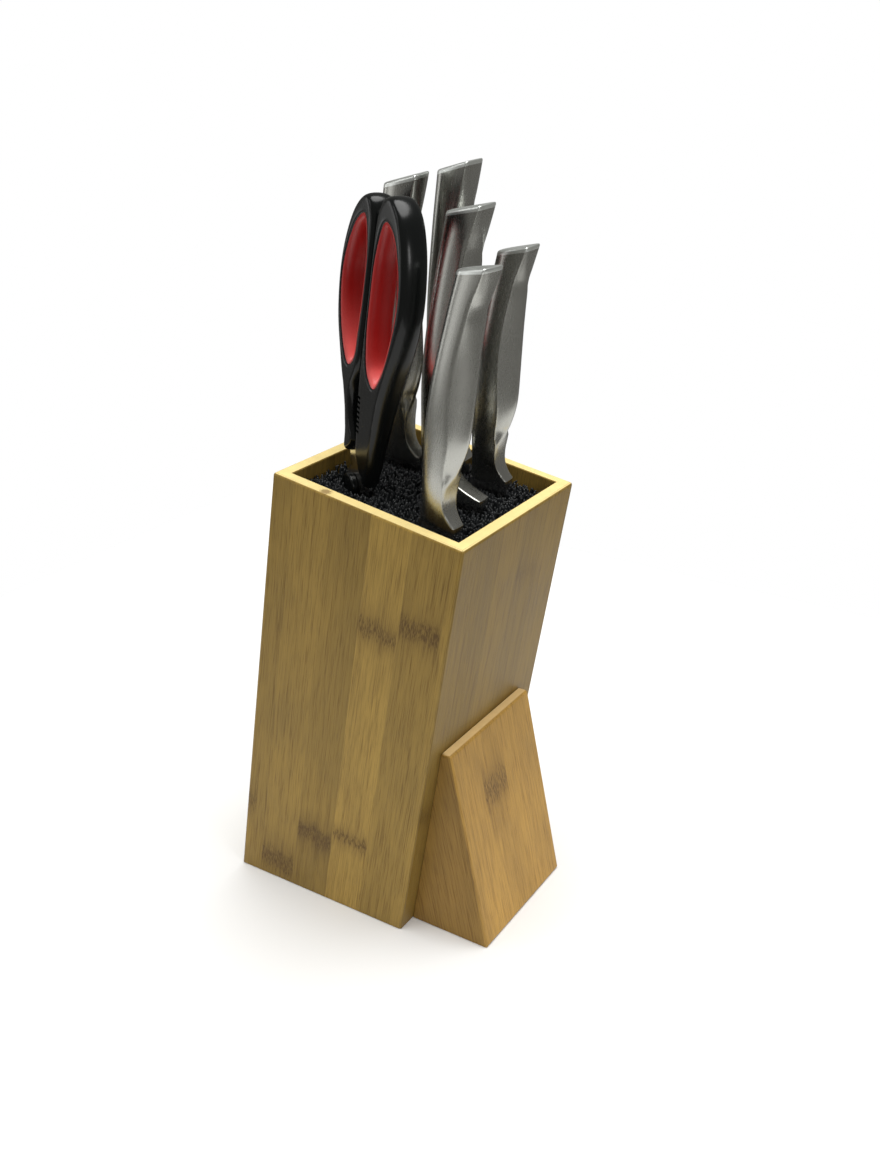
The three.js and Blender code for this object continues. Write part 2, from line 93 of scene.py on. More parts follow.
class KnifeBlockWood(bpy.types.PropertyGroup):
    colour: FloatVectorProperty(
        name="Colour", description="Colour of the boards", subtype="COLOR",
        default=(0.335, 0.215, 0.050), min=0, max=1,
    )
    # Painted light: the up-facing rim is painted far lighter than the boards.
    rim_colour_with_painted_light: FloatVectorProperty(
        name="Rim colour", description="Colour of the freshly cut rim", subtype="COLOR",
        default=(0.98, 0.78, 0.34), min=0, max=1,
    )
    # Painted light: the wedge's slope is painted lighter than the boards, though it is the same wood.
    wedge_colour_with_painted_light: FloatVectorProperty(
        name="Wedge colour", description="Colour of the wedge foot's slope", subtype="COLOR",
        default=(0.45, 0.262, 0.062), min=0, max=1,
    )
    # Painted light: the wedge foot's up-facing edge is painted lighter than its slope.
    wedge_rim_colour_with_painted_light: FloatVectorProperty(
        name="Wedge rim colour", description="Colour of the wedge foot's upper edge", subtype="COLOR",
        default=(0.74, 0.52, 0.24), min=0, max=1,
    )
    mark_colour: FloatVectorProperty(
        name="Mark colour", description="Colour of the marks where the cane had a node", subtype="COLOR",
        default=(0.085, 0.042, 0.011), min=0, max=1,
    )
    strip: FloatProperty(
        name="Strip width", description="Width of one laminated strip", default=22 * MM, unit="LENGTH",
    )
    edge: FloatProperty(
        name="Edge rounding", description="Radius of the boards' edges", default=1.3 * MM, unit="LENGTH",
    )


class KnifeBlockBristles(bpy.types.PropertyGroup):
    colour: FloatVectorProperty(
        name="Colour", description="Colour of the bristles", subtype="COLOR",
        default=(0.016, 0.018, 0.020), min=0, max=1,
    )
    tray_colour: FloatVectorProperty(
        name="Tray colour", description="Colour of the insert's tray", subtype="COLOR",
        default=(0.022, 0.023, 0.025), min=0, max=1,
    )
    pitch: FloatProperty(
        name="Pitch", description="Distance from one bristle to the next", default=1.45 * MM, unit="LENGTH",
    )
    radius: FloatProperty(
        name="Radius", description="Radius of one bristle", default=0.6 * MM, unit="LENGTH",
    )
    lowest: FloatProperty(
        name="Lowest tip", description="Depth of the lowest tips under the highest", default=3.2 * MM,
        unit="LENGTH",
    )
    seed: IntProperty(name="Seed", description="Start of the random draws", default=4)


class KnifeBlockSteel(bpy.types.PropertyGroup):
    satin: FloatVectorProperty(
        name="Satin steel", description="Colour of the handles", subtype="COLOR",
        default=(0.45, 0.45, 0.42), min=0, max=1,
    )
    satin_roughness: FloatProperty(
        name="Satin roughness", description="How blurred the handles' reflections are", default=0.27,
        min=0, max=1, subtype="FACTOR",
    )
    bright: FloatVectorProperty(
        name="Polished steel", description="Colour of the butts", subtype="COLOR",
        default=(0.9, 0.93, 0.9), min=0, max=1,
    )
    bright_roughness: FloatProperty(
        name="Polished roughness", description="How blurred the butts' reflections are", default=0.36,
        min=0, max=1, subtype="FACTOR",
    )
    ground: FloatVectorProperty(
        name="Ground steel", description="Colour of the knives' blades", subtype="COLOR",
        default=(0.62, 0.62, 0.61), min=0, max=1,
    )


class KnifeBlockShears(bpy.types.PropertyGroup):
    black: FloatVectorProperty(
        name="Black", description="Colour of the handles", subtype="COLOR",
        default=(0.005, 0.006, 0.006), min=0, max=1,
    )
    red: FloatVectorProperty(
        name="Red", description="Colour of the soft lining", subtype="COLOR",
        default=(0.44, 0.007, 0.006), min=0, max=1,
    )
    # Painted highlight: the lining is painted in this paler red where it faces up.
    painted_highlight_red: FloatVectorProperty(
        name="Pale red", description="Colour of the lining where it faces up", subtype="COLOR",
        default=(1.0, 0.17, 0.16), min=0, max=1,
    )
    blades: FloatVectorProperty(
        name="Blades", description="Colour of the shears' blades", subtype="COLOR",
        default=(0.66, 0.65, 0.62), min=0, max=1,
    )
    nut: FloatVectorProperty(
        name="Nut", description="Colour of the pivot's nut", subtype="COLOR",
        default=(0.6, 0.6, 0.58), min=0, max=1,
    )
    rounding: FloatProperty(
        name="Rounding", description="How far the handles' round edges reach inwards", default=2.4 * MM,
        unit="LENGTH",
    )


class KnifeBlockStage(bpy.types.PropertyGroup):
    distance: FloatProperty(
        name="Distance", description="From the camera to its target", default=0.60382, unit="LENGTH",
    )
    azimuth: FloatProperty(
        name="Azimuth", description="Of the camera, from -Y towards +X", default=math.radians(32.19),
        subtype="ANGLE",
    )
    elevation: FloatProperty(
        name="Elevation", description="Of the camera over the table", default=math.radians(24.44),
        subtype="ANGLE",
    )
    lens: FloatProperty(name="Lens", description="Focal length in millimetres", default=37.57)
    floor: FloatVectorProperty(
        name="Floor", description="Colour of the floor", subtype="COLOR", default=(0.86, 0.86, 0.86),
        min=0, max=1,
    )
    floor_size: FloatProperty(
        name="Floor size", description="Side of the square floor", default=0.9, unit="LENGTH",
    )
    sunlight: FloatProperty(name="Overhead light", description="Strength of the broad light", default=3.5)
    room_light: FloatProperty(name="Room light", description="Strength of the light all round", default=0.2)


# ---------- shaders ----------


class Value:
    """A shader socket. Arithmetic on it adds Math nodes."""

    def __init__(self, shader, socket):
        self.shader = shader
        self.socket = socket

    def math(self, operation, *others):
        values = {i + 1: other for i, other in enumerate(others)}
        return self.shader.make("ShaderNodeMath", {"operation": operation}, {0: self, **values})

    def swapped(self, operation, other):
        return self.shader.make("ShaderNodeMath", {"operation": operation}, {0: other, 1: self})

    def __add__(self, other):
        return self.math("ADD", other)

    def __radd__(self, other):
        return self.swapped("ADD", other)

    def __sub__(self, other):
        return self.math("SUBTRACT", other)

    def __rsub__(self, other):
        return self.swapped("SUBTRACT", other)

    def __mul__(self, other):
        return self.math("MULTIPLY", other)

    def __rmul__(self, other):
        return self.swapped("MULTIPLY", other)

    def __truediv__(self, other):
        return self.math("DIVIDE", other)

    def __abs__(self):
        return self.math("ABSOLUTE")

    def largest(self, other):
        return self.math("MAXIMUM", other)

    def fraction(self):
        return self.math("FRACT")

    def smooth(self, low, high):
        """0 up to low, 1 from high, and a smooth step between them. low may be the higher one."""
        flip = low > high
        step = self.shader.make(
            "ShaderNodeMapRange", {"interpolation_type": "SMOOTHSTEP"},
            {"Value": self, "From Min": min(low, high), "From Max": max(low, high)},
        )
        return 1 - step if flip else step


class Shader:
    """A new material whose nodes come from make()."""

    def __init__(self, name):
        self.material = bpy.data.materials.new(name)
        self.material.use_nodes = True
        self.tree = self.material.node_tree
        self.tree.nodes.clear()

    def make(self, kind, settings=None, inputs=None, output=0):
        """A node of a type, its settings set before the values or links of its sockets."""
        node = self.tree.nodes.new(kind)
        for key, setting in (settings or {}).items():
            if key == "stops":
                elements = node.color_ramp.elements
                while len(elements) < len(setting):
                    elements.new(1)
                for element, (place, colour) in zip(elements, setting):
                    element.position = place
                    element.color = colour
            elif key == "ramp":
                node.color_ramp.interpolation = setting
            else:
                setattr(node, key, setting)
        for key, value in (inputs or {}).items():
            if isinstance(value, Value):
                self.tree.links.new(value.socket, node.inputs[key])
            else:
                node.inputs[key].default_value = value
        return Value(self, node.outputs[output]) if node.outputs else None

    def place(self, turn=(0, 0, 0), scale=(1, 1, 1), source=None):
        """Object coordinates, turned and scaled."""
        source = source or self.make("ShaderNodeTexCoord", output="Object")
        return self.make("ShaderNodeMapping", None, {"Vector": source, "Rotation": turn, "Scale": scale})

    def parts(self, vector):
        split = self.make("ShaderNodeSeparateXYZ", None, {0: vector})
        return [Value(self, split.socket.node.outputs[i]) for i in range(3)]

    def noise(self, vector, scale, detail=3.0, roughness=0.55):
        return self.make(
            "ShaderNodeTexNoise", None,
            {"Vector": vector, "Scale": scale, "Detail": detail, "Roughness": roughness},
        )

    def mix(self, factor, a, b, blend="MIX"):
        """A mix of two colours."""
        return self.make(
            "ShaderNodeMix", {"data_type": "RGBA", "blend_type": blend}, {0: factor, 6: a, 7: b}, 2,
        )

    def tone(self, factor):
        """A grey that multiplies a colour."""
        return self.make("ShaderNodeCombineXYZ", None, {0: factor, 1: factor, 2: factor})

    def times(self, colour, factor):
        """A colour made lighter or darker."""
        if not isinstance(colour, Value):
            colour = tuple(colour)[:3]
        return self.make(
            "ShaderNodeVectorMath", {"operation": "MULTIPLY"}, {0: colour, 1: self.tone(factor)},
        )

    def bump(self, height, distance, strength):
        return self.make(
            "ShaderNodeBump", None, {"Height": height, "Distance": distance, "Strength": strength},
        )

    def surface(self, **sockets):
        """Ends the material in a Principled shader. Underscores stand for spaces."""
        inputs = {key.replace("_", " "): value for key, value in sockets.items()}
        shader = self.make("ShaderNodeBsdfPrincipled", None, inputs)
        self.make("ShaderNodeOutputMaterial", None, {"Surface": shader})
        return self.material


def solid(colour):
    return (*colour, 1.0)


# Tints of the strips on each face, and where its marks lie: the strip's two edges, height, half
# height and strength, in millimetres. Strips start at the first edge and are one strip wide. The
# right face's tints are lowered as painted shade.
FACES = {
    "front": {
        "first": -62, "tints_and_painted_shade": [0.92, 0.98, 0.87, 1.20, 0.96, 1.02],
        "marks": [
            (4, 26, 174.5, 4.6, 0.75), (26, 48, 184.5, 5.6, 0.85), (-18, 4, 38, 5.5, 0.95),
            (4, 26, 47.5, 3.4, 0.8), (-40, -18, 7, 6.5, 0.85), (-53, -46, 40, 5.5, 0.6),
        ],
    },
    # Painted shade: the right face's tints are lower than the other faces', for the shade on that side of
    # the block.
    "right": {
        "first": -60, "tints_and_painted_shade": [0.78, 0.72, 0.82, 0.76, 0.84, 0.79],
        "marks": [(-53, -42, 79, 4.5, 0.45), (6, 28, 196, 4, 0.3)],
    },
    "back": {
        "first": -64, "tints_and_painted_shade": [0.97, 1.04, 0.92, 1.0, 1.08, 0.94],
        "marks": [(2, 24, 122, 5, 0.8), (24, 46, 66, 4.6, 0.85), (-42, -20, 190, 5, 0.7)],
    },
    "left": {
        "first": -57, "tints_and_painted_shade": [1.02, 0.93, 1.06, 0.95, 0.98, 1.0],
        "marks": [(-35, -13, 150, 5, 0.8), (9, 31, 88, 5, 0.8), (-13, 9, 24, 5, 0.7)],
    },
    "wedge": {
        "first": -56, "tints_and_painted_shade": [1.0, 1.08, 0.97, 1.0, 1.05, 1.0],
        "marks": [(-18.5, 3.5, 75.5, 7.5, 0.75), (-17, 1, 57, 5, 0.2)],
    },
    "plain": {"first": -61, "tints_and_painted_shade": [1.0, 0.95, 1.04, 0.97, 1.02, 0.98], "marks": []},
}


DARK_FIBRE = (0.50, 0.40, 0.30)  # shares of the wood's red, green and blue
KNOT_PLACE = (-23.5, -50.0, RIM / MM)  # the small knot on the front rim
KNOT_COLOUR = (0.20, 0.095, 0.03)


def bamboo(name, face, across, turn, colour, rim=None, shift=0.0):
    """Laminated bamboo. across is the axis over the strips, and turn lays the grain along Z."""
    wood = bpy.context.scene.knife_block_wood
    look = FACES[face]
    shader = Shader(name)
    at = shader.place(turn, IN_MM)
    x, y, z = shader.parts(at)
    u = y if across == "Y" else x
    pitch = wood.strip / MM
    reach = pitch * len(look["tints_and_painted_shade"])
    strip = (u - look["first"]) / reach
    stops = [(i / len(look["tints_and_painted_shade"]), (t, t, t, 1)) for i, t in enumerate(look["tints_and_painted_shade"])]
    # The strips' tints; on the right face they also carry painted shade.
    tint_and_painted_shade = shader.make("ShaderNodeValToRGB", {"ramp": "CONSTANT", "stops": stops}, {0: strip})
    seam = abs(((u - look["first"]) / pitch).fraction() - 0.5).smooth(0.489, 0.497)

    def grain(sideways, upwards, detail=2.0, seed=0.0):
        vector = shader.make(
            "ShaderNodeCombineXYZ", None, {0: x * sideways, 1: y * sideways + seed, 2: z * upwards},
        )
        return shader.noise(vector, 1.0, detail, 0.6)

    fibres = grain(2.5, 0.06, 4.0, shift)
    streaks = grain(0.6, 0.02, 3.0, shift + 31)
    pores = grain(2.3, 0.11, 1.0, shift + 57)
    cloud = grain(0.035, 0.016, 2.0, shift + 73)
    tone = 1.02 + (fibres - 0.5) * 0.8 + (streaks - 0.5) * 0.32 + (cloud - 0.5) * 0.6
    tone = tone - pores.smooth(0.58, 0.74) * 0.20 - seam * 0.10
    wood_colour = shader.times(shader.mix(1.0, solid(colour), tint_and_painted_shade, "MULTIPLY"), tone)
    dark = (fibres * 0.7 + streaks * 0.3).smooth(0.51, 0.34) * 0.6
    dark_colour = tuple(c * share for c, share in zip(colour, DARK_FIBRE))
    warm = shader.mix(dark, wood_colour, solid(dark_colour))

    marks = None
    if look["marks"]:
        ragged = grain(0.9, 0.05, 3.0, shift + 11)
        fuzz = grain(2.0, 0.30, 3.0, shift + 19)
        wobble = (grain(0.10, 0.01, 1.0, shift + 5) - 0.5) * 15 + (ragged - 0.5) * 13
        for low, high, height, half, strength in look["marks"]:
            side = (u - (low - 0.4)).smooth(0, 1.2) * (u - (high + 0.4)).smooth(0, -1.2)
            away = abs(z - height + wobble)
            core = away.smooth(half * 1.7, half * 0.1)
            halo = away.smooth(half * 3.6, half * 0.4) * 0.34
            mark = (core * (0.12 + 0.85 * fuzz.smooth(0.42, 0.64)) + halo) * side * strength
            marks = mark if marks is None else marks.largest(mark)
        warm = shader.mix(marks.math("MINIMUM", 0.85), warm, solid(wood.mark_colour))

    height = fibres * 0.5 - pores.smooth(0.58, 0.72) * 0.5 - seam * 0.6
    rough = 0.46 + (fibres - 0.5) * 0.22 + (cloud - 0.5) * 0.15
    if rim is not None:
        normal = shader.make("ShaderNodeTexCoord", output="Normal")
        tilt = shader.parts(shader.place(turn, source=normal))[2]
        # Painted light: faces that look up get the much lighter rim colour, with its grain and the knot.
        top = tilt.smooth(0.75, 0.93)
        # Painted shade: on the wedge, faces that look along Y (its triangular sides) are painted 32%
        # darker.
        side = abs(shader.parts(normal)[1]).smooth(0.6, 0.9) * (0.32 if face == "wedge" else 0)
        warm = shader.times(warm, 1 - side)
        ends = shader.noise(at, 1.6, 3.0, 0.6)
        blotch = shader.noise(at, 0.16, 2.0, 0.5)
        rim_knot_and_painted_light = shader.times(solid(rim), 0.80 + ends * 0.16 + blotch * 0.24)
        knot = shader.make(
            "ShaderNodeVectorMath", {"operation": "DISTANCE"},
            {0: at, 1: KNOT_PLACE}, "Value",
        )
        knot = (knot + (ends - 0.5) * 5).smooth(3.6, 1.4) * 0.72
        rim_knot_and_painted_light = shader.mix(knot, rim_knot_and_painted_light, solid(KNOT_COLOUR))
        warm = shader.mix(top, warm, rim_knot_and_painted_light)
        height = height * (1 - top) + ends * top * 0.4
    return shader.surface(
        Base_Color=warm, Roughness=rough, Normal=shader.bump(height, 0.00012, 0.55),
        Specular_IOR_Level=0.22,
    )


def steel(name, colour, roughness, turn=(0, -LEAN, 0), blotch=0.10, grain=0.00001):
    """Steel ground along a direction, which turn lays along Z."""
    shader = Shader(name)
    at = shader.place(turn, IN_MM)
    lines = shader.noise(shader.place(source=at, scale=(7, 7, 0.12)), 1.0, 2.0, 0.6)
    fine = shader.noise(shader.place(source=at, scale=(3, 3, 3)), 1.0, 2.0, 0.6)
    smear = shader.noise(shader.place(source=at, scale=(0.06, 0.06, 0.022)), 1.0, 3.0, 0.6)
    tone = 1 + (lines - 0.5) * 0.10 + (smear - 0.5) * blotch * 2
    rough = roughness + (smear - 0.5) * blotch + (lines - 0.5) * 0.08 + (fine - 0.5) * 0.05
    return shader.surface(
        Base_Color=shader.times(solid(colour), tone), Metallic=1.0, Roughness=rough,
        Normal=shader.bump(lines * 0.7 + fine * 0.3, grain, 0.5),
    )


def plastic(name, colour, roughness, lump=0.00002):
    """Moulded plastic with a slightly uneven skin."""
    shader = Shader(name)
    at = shader.place(scale=IN_MM)
    skin = shader.noise(at, 1.2, 2.0, 0.6)
    wide = shader.noise(at, 0.05, 3.0, 0.55)
    rough = roughness + (wide - 0.5) * 0.16 + (skin - 0.5) * 0.06
    tone = 1 + (wide - 0.5) * 0.3
    return shader.surface(
        Base_Color=shader.times(solid(colour), tone), Roughness=rough,
        Normal=shader.bump(skin, lump, 0.5), Specular_IOR_Level=0.3,
    )


def filament(name, upright):
    """Bristle plastic. upright adds the look of many close filaments to a plain side."""
    settings = bpy.context.scene.knife_block_bristles
    shader = Shader(name)
    at = shader.place((0, -LEAN, 0), IN_MM)
    specks = shader.noise(at, 0.9, 3.0, 0.6)
    tone = 0.55 + specks * 0.9
    height = specks
    if upright:
        ribs = shader.noise(shader.place(source=at, scale=(1.1, 1.1, 0.006)), 1.0, 1.0, 0.5)
        height = ribs.smooth(0.35, 0.65)
        # Painted shade: the low grooves between the filaments are painted down to a quarter of the tone.
        tone = tone * (0.25 + height * 0.9)
    return shader.surface(
        Base_Color=shader.times(solid(settings.colour), tone),
        Roughness=0.30 + specks * 0.22, Normal=shader.bump(height, 0.0003, 0.7),
    )


# ---------- modelling ----------


def object_mode():
    if bpy.context.mode != "OBJECT":
        bpy.ops.object.mode_set(mode="OBJECT")


def deselect_all():
    object_mode()
    bpy.ops.object.select_all(action="DESELECT")


def select_only(obj):
    deselect_all()
    obj.select_set(True)
    bpy.context.view_layer.objects.active = obj


def edit(obj):
    select_only(obj)
    bpy.ops.object.mode_set(mode="EDIT")


def pick(obj, kind, test):
    """In edit mode, selects the vertices, edges or faces whose middle (and normal) pass a test."""
    bpy.ops.mesh.select_mode(type=kind)
    bpy.ops.mesh.select_all(action="DESELECT")
    mesh = bmesh.from_edit_mesh(obj.data)
    if kind == "FACE":
        chosen = [f for f in mesh.faces if test(f.calc_center_median(), f.normal)]
    elif kind == "EDGE":
        ends = [(e, e.verts[0].co, e.verts[1].co) for e in mesh.edges]
        chosen = [e for e, a, b in ends if test((a + b) / 2, (b - a).normalized())]
    else:
        chosen = [v for v in mesh.verts if test(v.co)]
    for element in chosen:
        element.select_set(True)
    if kind == "VERT":
        mesh.select_flush(True)
    bmesh.update_edit_mesh(obj.data)


def apply_place():
    """Moves the active object's place, turn and scale into its mesh."""
    bpy.ops.object.transform_apply(location=True, rotation=True, scale=True)


def add_box(name, lo, hi):
    """A box primitive at its size and place."""
    deselect_all()
    bpy.ops.mesh.primitive_cube_add(size=1, location=(Vector(lo) + Vector(hi)) / 2)
    obj = bpy.context.object
    obj.name = name
    obj.scale = Vector(hi) - Vector(lo)
    apply_place()
    return obj


def add_cylinder(name, radius, depth, place, vertices, turn=(0, 0, 0)):
    """A cylinder primitive at its size and place."""
    deselect_all()
    bpy.ops.mesh.primitive_cylinder_add(
        vertices=vertices, radius=radius, depth=depth, location=place, rotation=turn,
    )
    obj = bpy.context.object
    obj.name = name
    apply_place()
    return obj


def apply_modifier(obj, kind, **settings):
    """Adds a modifier with its settings, and applies it."""
    modifier = obj.modifiers.new(kind.lower(), kind)
    for key, value in settings.items():
        setattr(modifier, key, value)
    select_only(obj)
    bpy.ops.object.modifier_apply(modifier=modifier.name)


def repeat(obj, count, step):
    """Copies of a mesh in a row, a step apart."""
    apply_modifier(
        obj, "ARRAY", count=count, use_relative_offset=False, use_constant_offset=True,
        constant_offset_displace=step,
    )


def shade_by_angle(obj, degrees):
    select_only(obj)
    bpy.ops.object.shade_smooth_by_angle(angle=math.radians(degrees))


def bevel_edges(obj, test, offset, segments):
    pick(obj, "EDGE", test)
    bpy.ops.mesh.bevel(offset=offset, segments=segments, profile=0.5, affect="EDGES", clamp_overlap=True)


def slice_away(obj, point, normal):
    """Cuts off what lies behind a plane, against its normal."""
    edit(obj)
    bpy.ops.mesh.select_mode(type="VERT")
    bpy.ops.mesh.select_all(action="SELECT")
    bpy.ops.mesh.bisect(plane_co=point, plane_no=normal, use_fill=True, clear_inner=True)
    object_mode()


def turn_into_row(obj, matrix=TO_ROW):
    """Applies a place to the mesh, so that the object itself sits at the origin."""
    select_only(obj)
    obj.matrix_world = matrix
    apply_place()


def smooth_round_faces(obj, flats):
    """Smooth shading on all faces but those that lie flat against one of the given normals."""
    edit(obj)
    pick(obj, "FACE", lambda middle, normal: not any(normal.dot(n) > 0.9999 for n in flats))
    bpy.ops.mesh.faces_shade_smooth()
    object_mode()


def copy_of(source, name):
    """A copy with its own mesh."""
    obj = source.copy()
    obj.data = source.data.copy()
    obj.name = name
    bpy.context.scene.collection.objects.link(obj)
    return obj


def copy_node(node, name):
    """A merged copy of a CAD node."""
    obj = bpy.data.objects.new(name, NODES[node].data.copy())
    bpy.context.scene.collection.objects.link(obj)
    edit(obj)
    bpy.ops.mesh.select_all(action="SELECT")
    bpy.ops.mesh.remove_doubles(threshold=1e-6)
    object_mode()
    return obj


def paint(obj, material):
    """Puts one material in all of an object's slots."""
    if not obj.data.materials:
        obj.data.materials.append(material)
    for i in range(len(obj.data.materials)):
        obj.data.materials[i] = material


def place_piece(obj, material, body, slot, *nodes):
    """Gives a finished piece its material and its body, and hides the CAD nodes that it stands for."""
    object_mode()
    paint(obj, material)
    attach(obj, body)
    if nodes:
        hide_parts(*nodes)
    return obj


def tube_of_rings(name, rings, matrix, closed=False):
    """A skin over rings of points: a circle, extruded ring by ring, then each ring set to its points."""
    sides = len(rings[0])
    deselect_all()
    bpy.ops.mesh.primitive_circle_add(vertices=sides, radius=1, fill_type="NOTHING", location=(0, 0, 0))
    obj = bpy.context.object
    obj.name = name
    edit(obj)
    bpy.ops.mesh.select_all(action="SELECT")
    for _ in rings[1:]:
        bpy.ops.mesh.extrude_region_move(TRANSFORM_OT_translate={"value": (0, 0, 1)})
    object_mode()
    order = {}
    for vertex in obj.data.vertices:
        ring = round(vertex.co.z)
        side = round((math.atan2(vertex.co.y, vertex.co.x) / math.tau - 0.25) * sides) % sides
        order[(ring, side)] = vertex
    for (ring, side), vertex in order.items():
        vertex.co = rings[ring][side]
    edit(obj)
    if closed:
        bpy.ops.mesh.select_mode(type="VERT")
        bpy.ops.mesh.select_all(action="SELECT")
        bpy.ops.mesh.remove_doubles(threshold=1e-7)
    else:
        for ring in (0, len(rings) - 1):
            ends = {tuple(round(c, 7) for c in p) for p in rings[ring]}
            pick(obj, "VERT", lambda co: tuple(round(c, 7) for c in co) in ends)
            bpy.ops.mesh.edge_face_add()
    bpy.ops.mesh.select_all(action="SELECT")
    bpy.ops.mesh.normals_make_consistent(inside=False)
    object_mode()
    turn_into_row(obj, matrix)
    return obj


def through(pairs, place):
    """A value read off a smooth curve through (place, value) pairs."""
    last = len(pairs) - 1
    i = 0
    while i < last - 1 and place > pairs[i + 1][0]:
        i += 1

    def slope(k):
        a = pairs[max(k - 1, 0)]
        b = pairs[min(k + 1, last)]
        return (b[1] - a[1]) / (b[0] - a[0])

    (x0, v0), (x1, v1) = pairs[i], pairs[i + 1]
    width = x1 - x0
    t = (place - x0) / width
    rise = v1 - v0
    s0, s1 = slope(i) * width, slope(i + 1) * width
    return v0 + t * (s0 + t * (3 * rise - 2 * s0 - s1 + t * (s0 + s1 - 2 * rise)))


def smoothstep(value, low, high):
    t = min(max((value - low) / (high - low), 0), 1)
    return t * t * (3 - 2 * t)


def lerp(a, b, t):
    return a + (b - a) * t


# ---------- block ----------


class KNIFEBLOCK_OT_boards(bpy.types.Operator):
    """Four mitred boards with rounded edges, and the base board"""

    bl_idname = "knife_block.boards"
    bl_label = "Boards"

    def execute(self, context):
        wood = context.scene.knife_block_wood
        x, y = HALF_WIDTH, HALF_DEPTH
        # The tube starts under the table, which the lean calls for, and is cut off level later.
        tube = add_box("tube", (-x, -y, -0.1), (x, y, RIM))
        near = 1e-5

        def inside(middle):
            return abs(middle.x) < x - WALL * 0.75 and abs(middle.y) < y - WALL * 0.75

        def outer(middle, way):
            corner = abs(abs(middle.x) - x) < near and abs(abs(middle.y) - y) < near
            side = abs(abs(middle.x) - x) < near or abs(abs(middle.y) - y) < near
            return corner or (side and abs(middle.z - RIM) < near)

        def inner_rim(middle, way):
            return inside(middle) and abs(middle.z - RIM) < near and abs(way.z) < 0.5

        edit(tube)
        pick(tube, "FACE", lambda middle, normal: abs(normal.z) > 0.5)
        bpy.ops.mesh.inset(thickness=WALL, depth=0)
        bpy.ops.mesh.delete(type="FACE")
        pick(tube, "EDGE", lambda middle, way: inside(middle))
        bpy.ops.mesh.bridge_edge_loops()
        bevel_edges(tube, outer, wood.edge, 4)
        bevel_edges(tube, inner_rim, wood.edge * 0.4, 2)
        object_mode()
        walls = {
            "front": ((-1, -1), (1, -1), "X"), "right": ((1, -1), (1, 1), "Y"),
            "back": ((1, 1), (-1, 1), "X"), "left": ((-1, 1), (-1, -1), "Y"),
        }
        flats = [Vector(n) for n in ((1, 0, 0), (-1, 0, 0), (0, 1, 0), (0, -1, 0), (0, 0, 1))]
        for name, (start, end, across) in walls.items():
            board = copy_of(tube, f"bamboo_{name}")
            for corner, other in ((start, end), (end, start)):
                # A mitre: the cut's plane faces along the board and out of the block alike.
                point = Vector((corner[0] * x, corner[1] * y, 0))
                inwards = Vector((-corner[0], -corner[1], 0))
                along = Vector((other[0] - corner[0], other[1] - corner[1], 0)).normalized()
                normal = along - (inwards - along * inwards.dot(along))
                slice_away(board, point, normal.normalized())
            smooth_round_faces(board, flats)
            turn_into_row(board)
            slice_away(board, (0, 0, 0), (0, 0, 1))
            material = bamboo(
                f"bamboo_{name}", name, across, (0, -LEAN, 0), wood.colour, wood.rim_colour_with_painted_light,
                shift=17.0 * len(name),
            )
            place_piece(board, material, "block", "bamboo", f"{name}_board")
        bpy.data.objects.remove(tube)
        paint(NODES["base_board"], bamboo("bamboo_base", "plain", "X", (0, -LEAN, 0), wood.colour))
        return {"FINISHED"}


WEDGE_SHOULDER = 4.9 * MM  # depth of the level top
WEDGE_TOE = 45.1 * MM  # reach of the toe before its edge is rounded
WEDGE_ROUNDING = 1.5 * MM


class KNIFEBLOCK_OT_wedge(bpy.types.Operator):
    """The wedge foot that carries the block's lean"""

    bl_idname = "knife_block.wedge"
    bl_label = "Wedge foot"

    def execute(self, context):
        wood = context.scene.knife_block_wood
        lo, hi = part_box("wedge_foot")
        back_top = lo.x + hi.z * math.tan(LEAN)
        shoulder = back_top + WEDGE_SHOULDER
        toe = lo.x + WEDGE_TOE
        wedge = add_box("bamboo_wedge", (lo.x, lo.y, 0), (toe, hi.y, hi.z))
        edit(wedge)
        pick(wedge, "VERT", lambda co: co.z > hi.z / 2 and co.x < lo.x + 1e-4)
        bpy.ops.transform.translate(value=(back_top - lo.x, 0, 0))
        pick(wedge, "VERT", lambda co: co.z > hi.z / 2 and co.x > toe - 1e-4)
        bpy.ops.transform.translate(value=(shoulder - toe, 0, 0))
        slope = Vector((toe - shoulder, 0, -hi.z)).normalized()

        def outer(middle, way):
            on_block = abs(way.y) < 0.5 and abs(way.dot(slope)) < 0.99 and way.z ** 2 > 0.2
            on_block = on_block or (abs(way.y) > 0.5 and middle.x < back_top + 1e-4)
            return not on_block and (middle.z > 1e-4 or middle.x > toe - 1e-4)

        bevel_edges(wedge, outer, WEDGE_ROUNDING, 4)
        object_mode()
        rise = Vector((hi.z, 0, toe - shoulder)).normalized()
        face = Vector((-math.cos(LEAN), 0, math.sin(LEAN)))
        ends = [Vector(n) for n in ((0, 1, 0), (0, -1, 0), (0, 0, 1))]
        smooth_round_faces(wedge, [rise, face, *ends])
        tilt = math.atan2(toe - shoulder, hi.z)
        # Grain runs up the slope: the slope is turned upright, with the toe at height 0.
        material = bamboo(
            "bamboo_wedge", "wedge", "Y", (0, tilt, 0), wood.wedge_colour_with_painted_light, wood.wedge_rim_colour_with_painted_light, 40,
        )
        for node in material.node_tree.nodes:
            if node.type == "MAPPING" and node.inputs["Scale"].default_value[0] > 1:
                node.inputs["Location"].default_value[2] = math.sin(tilt) * toe / MM
        place_piece(wedge, material, "block", "bamboo", "wedge_foot")
        return {"FINISHED"}


# ---------- bristles ----------


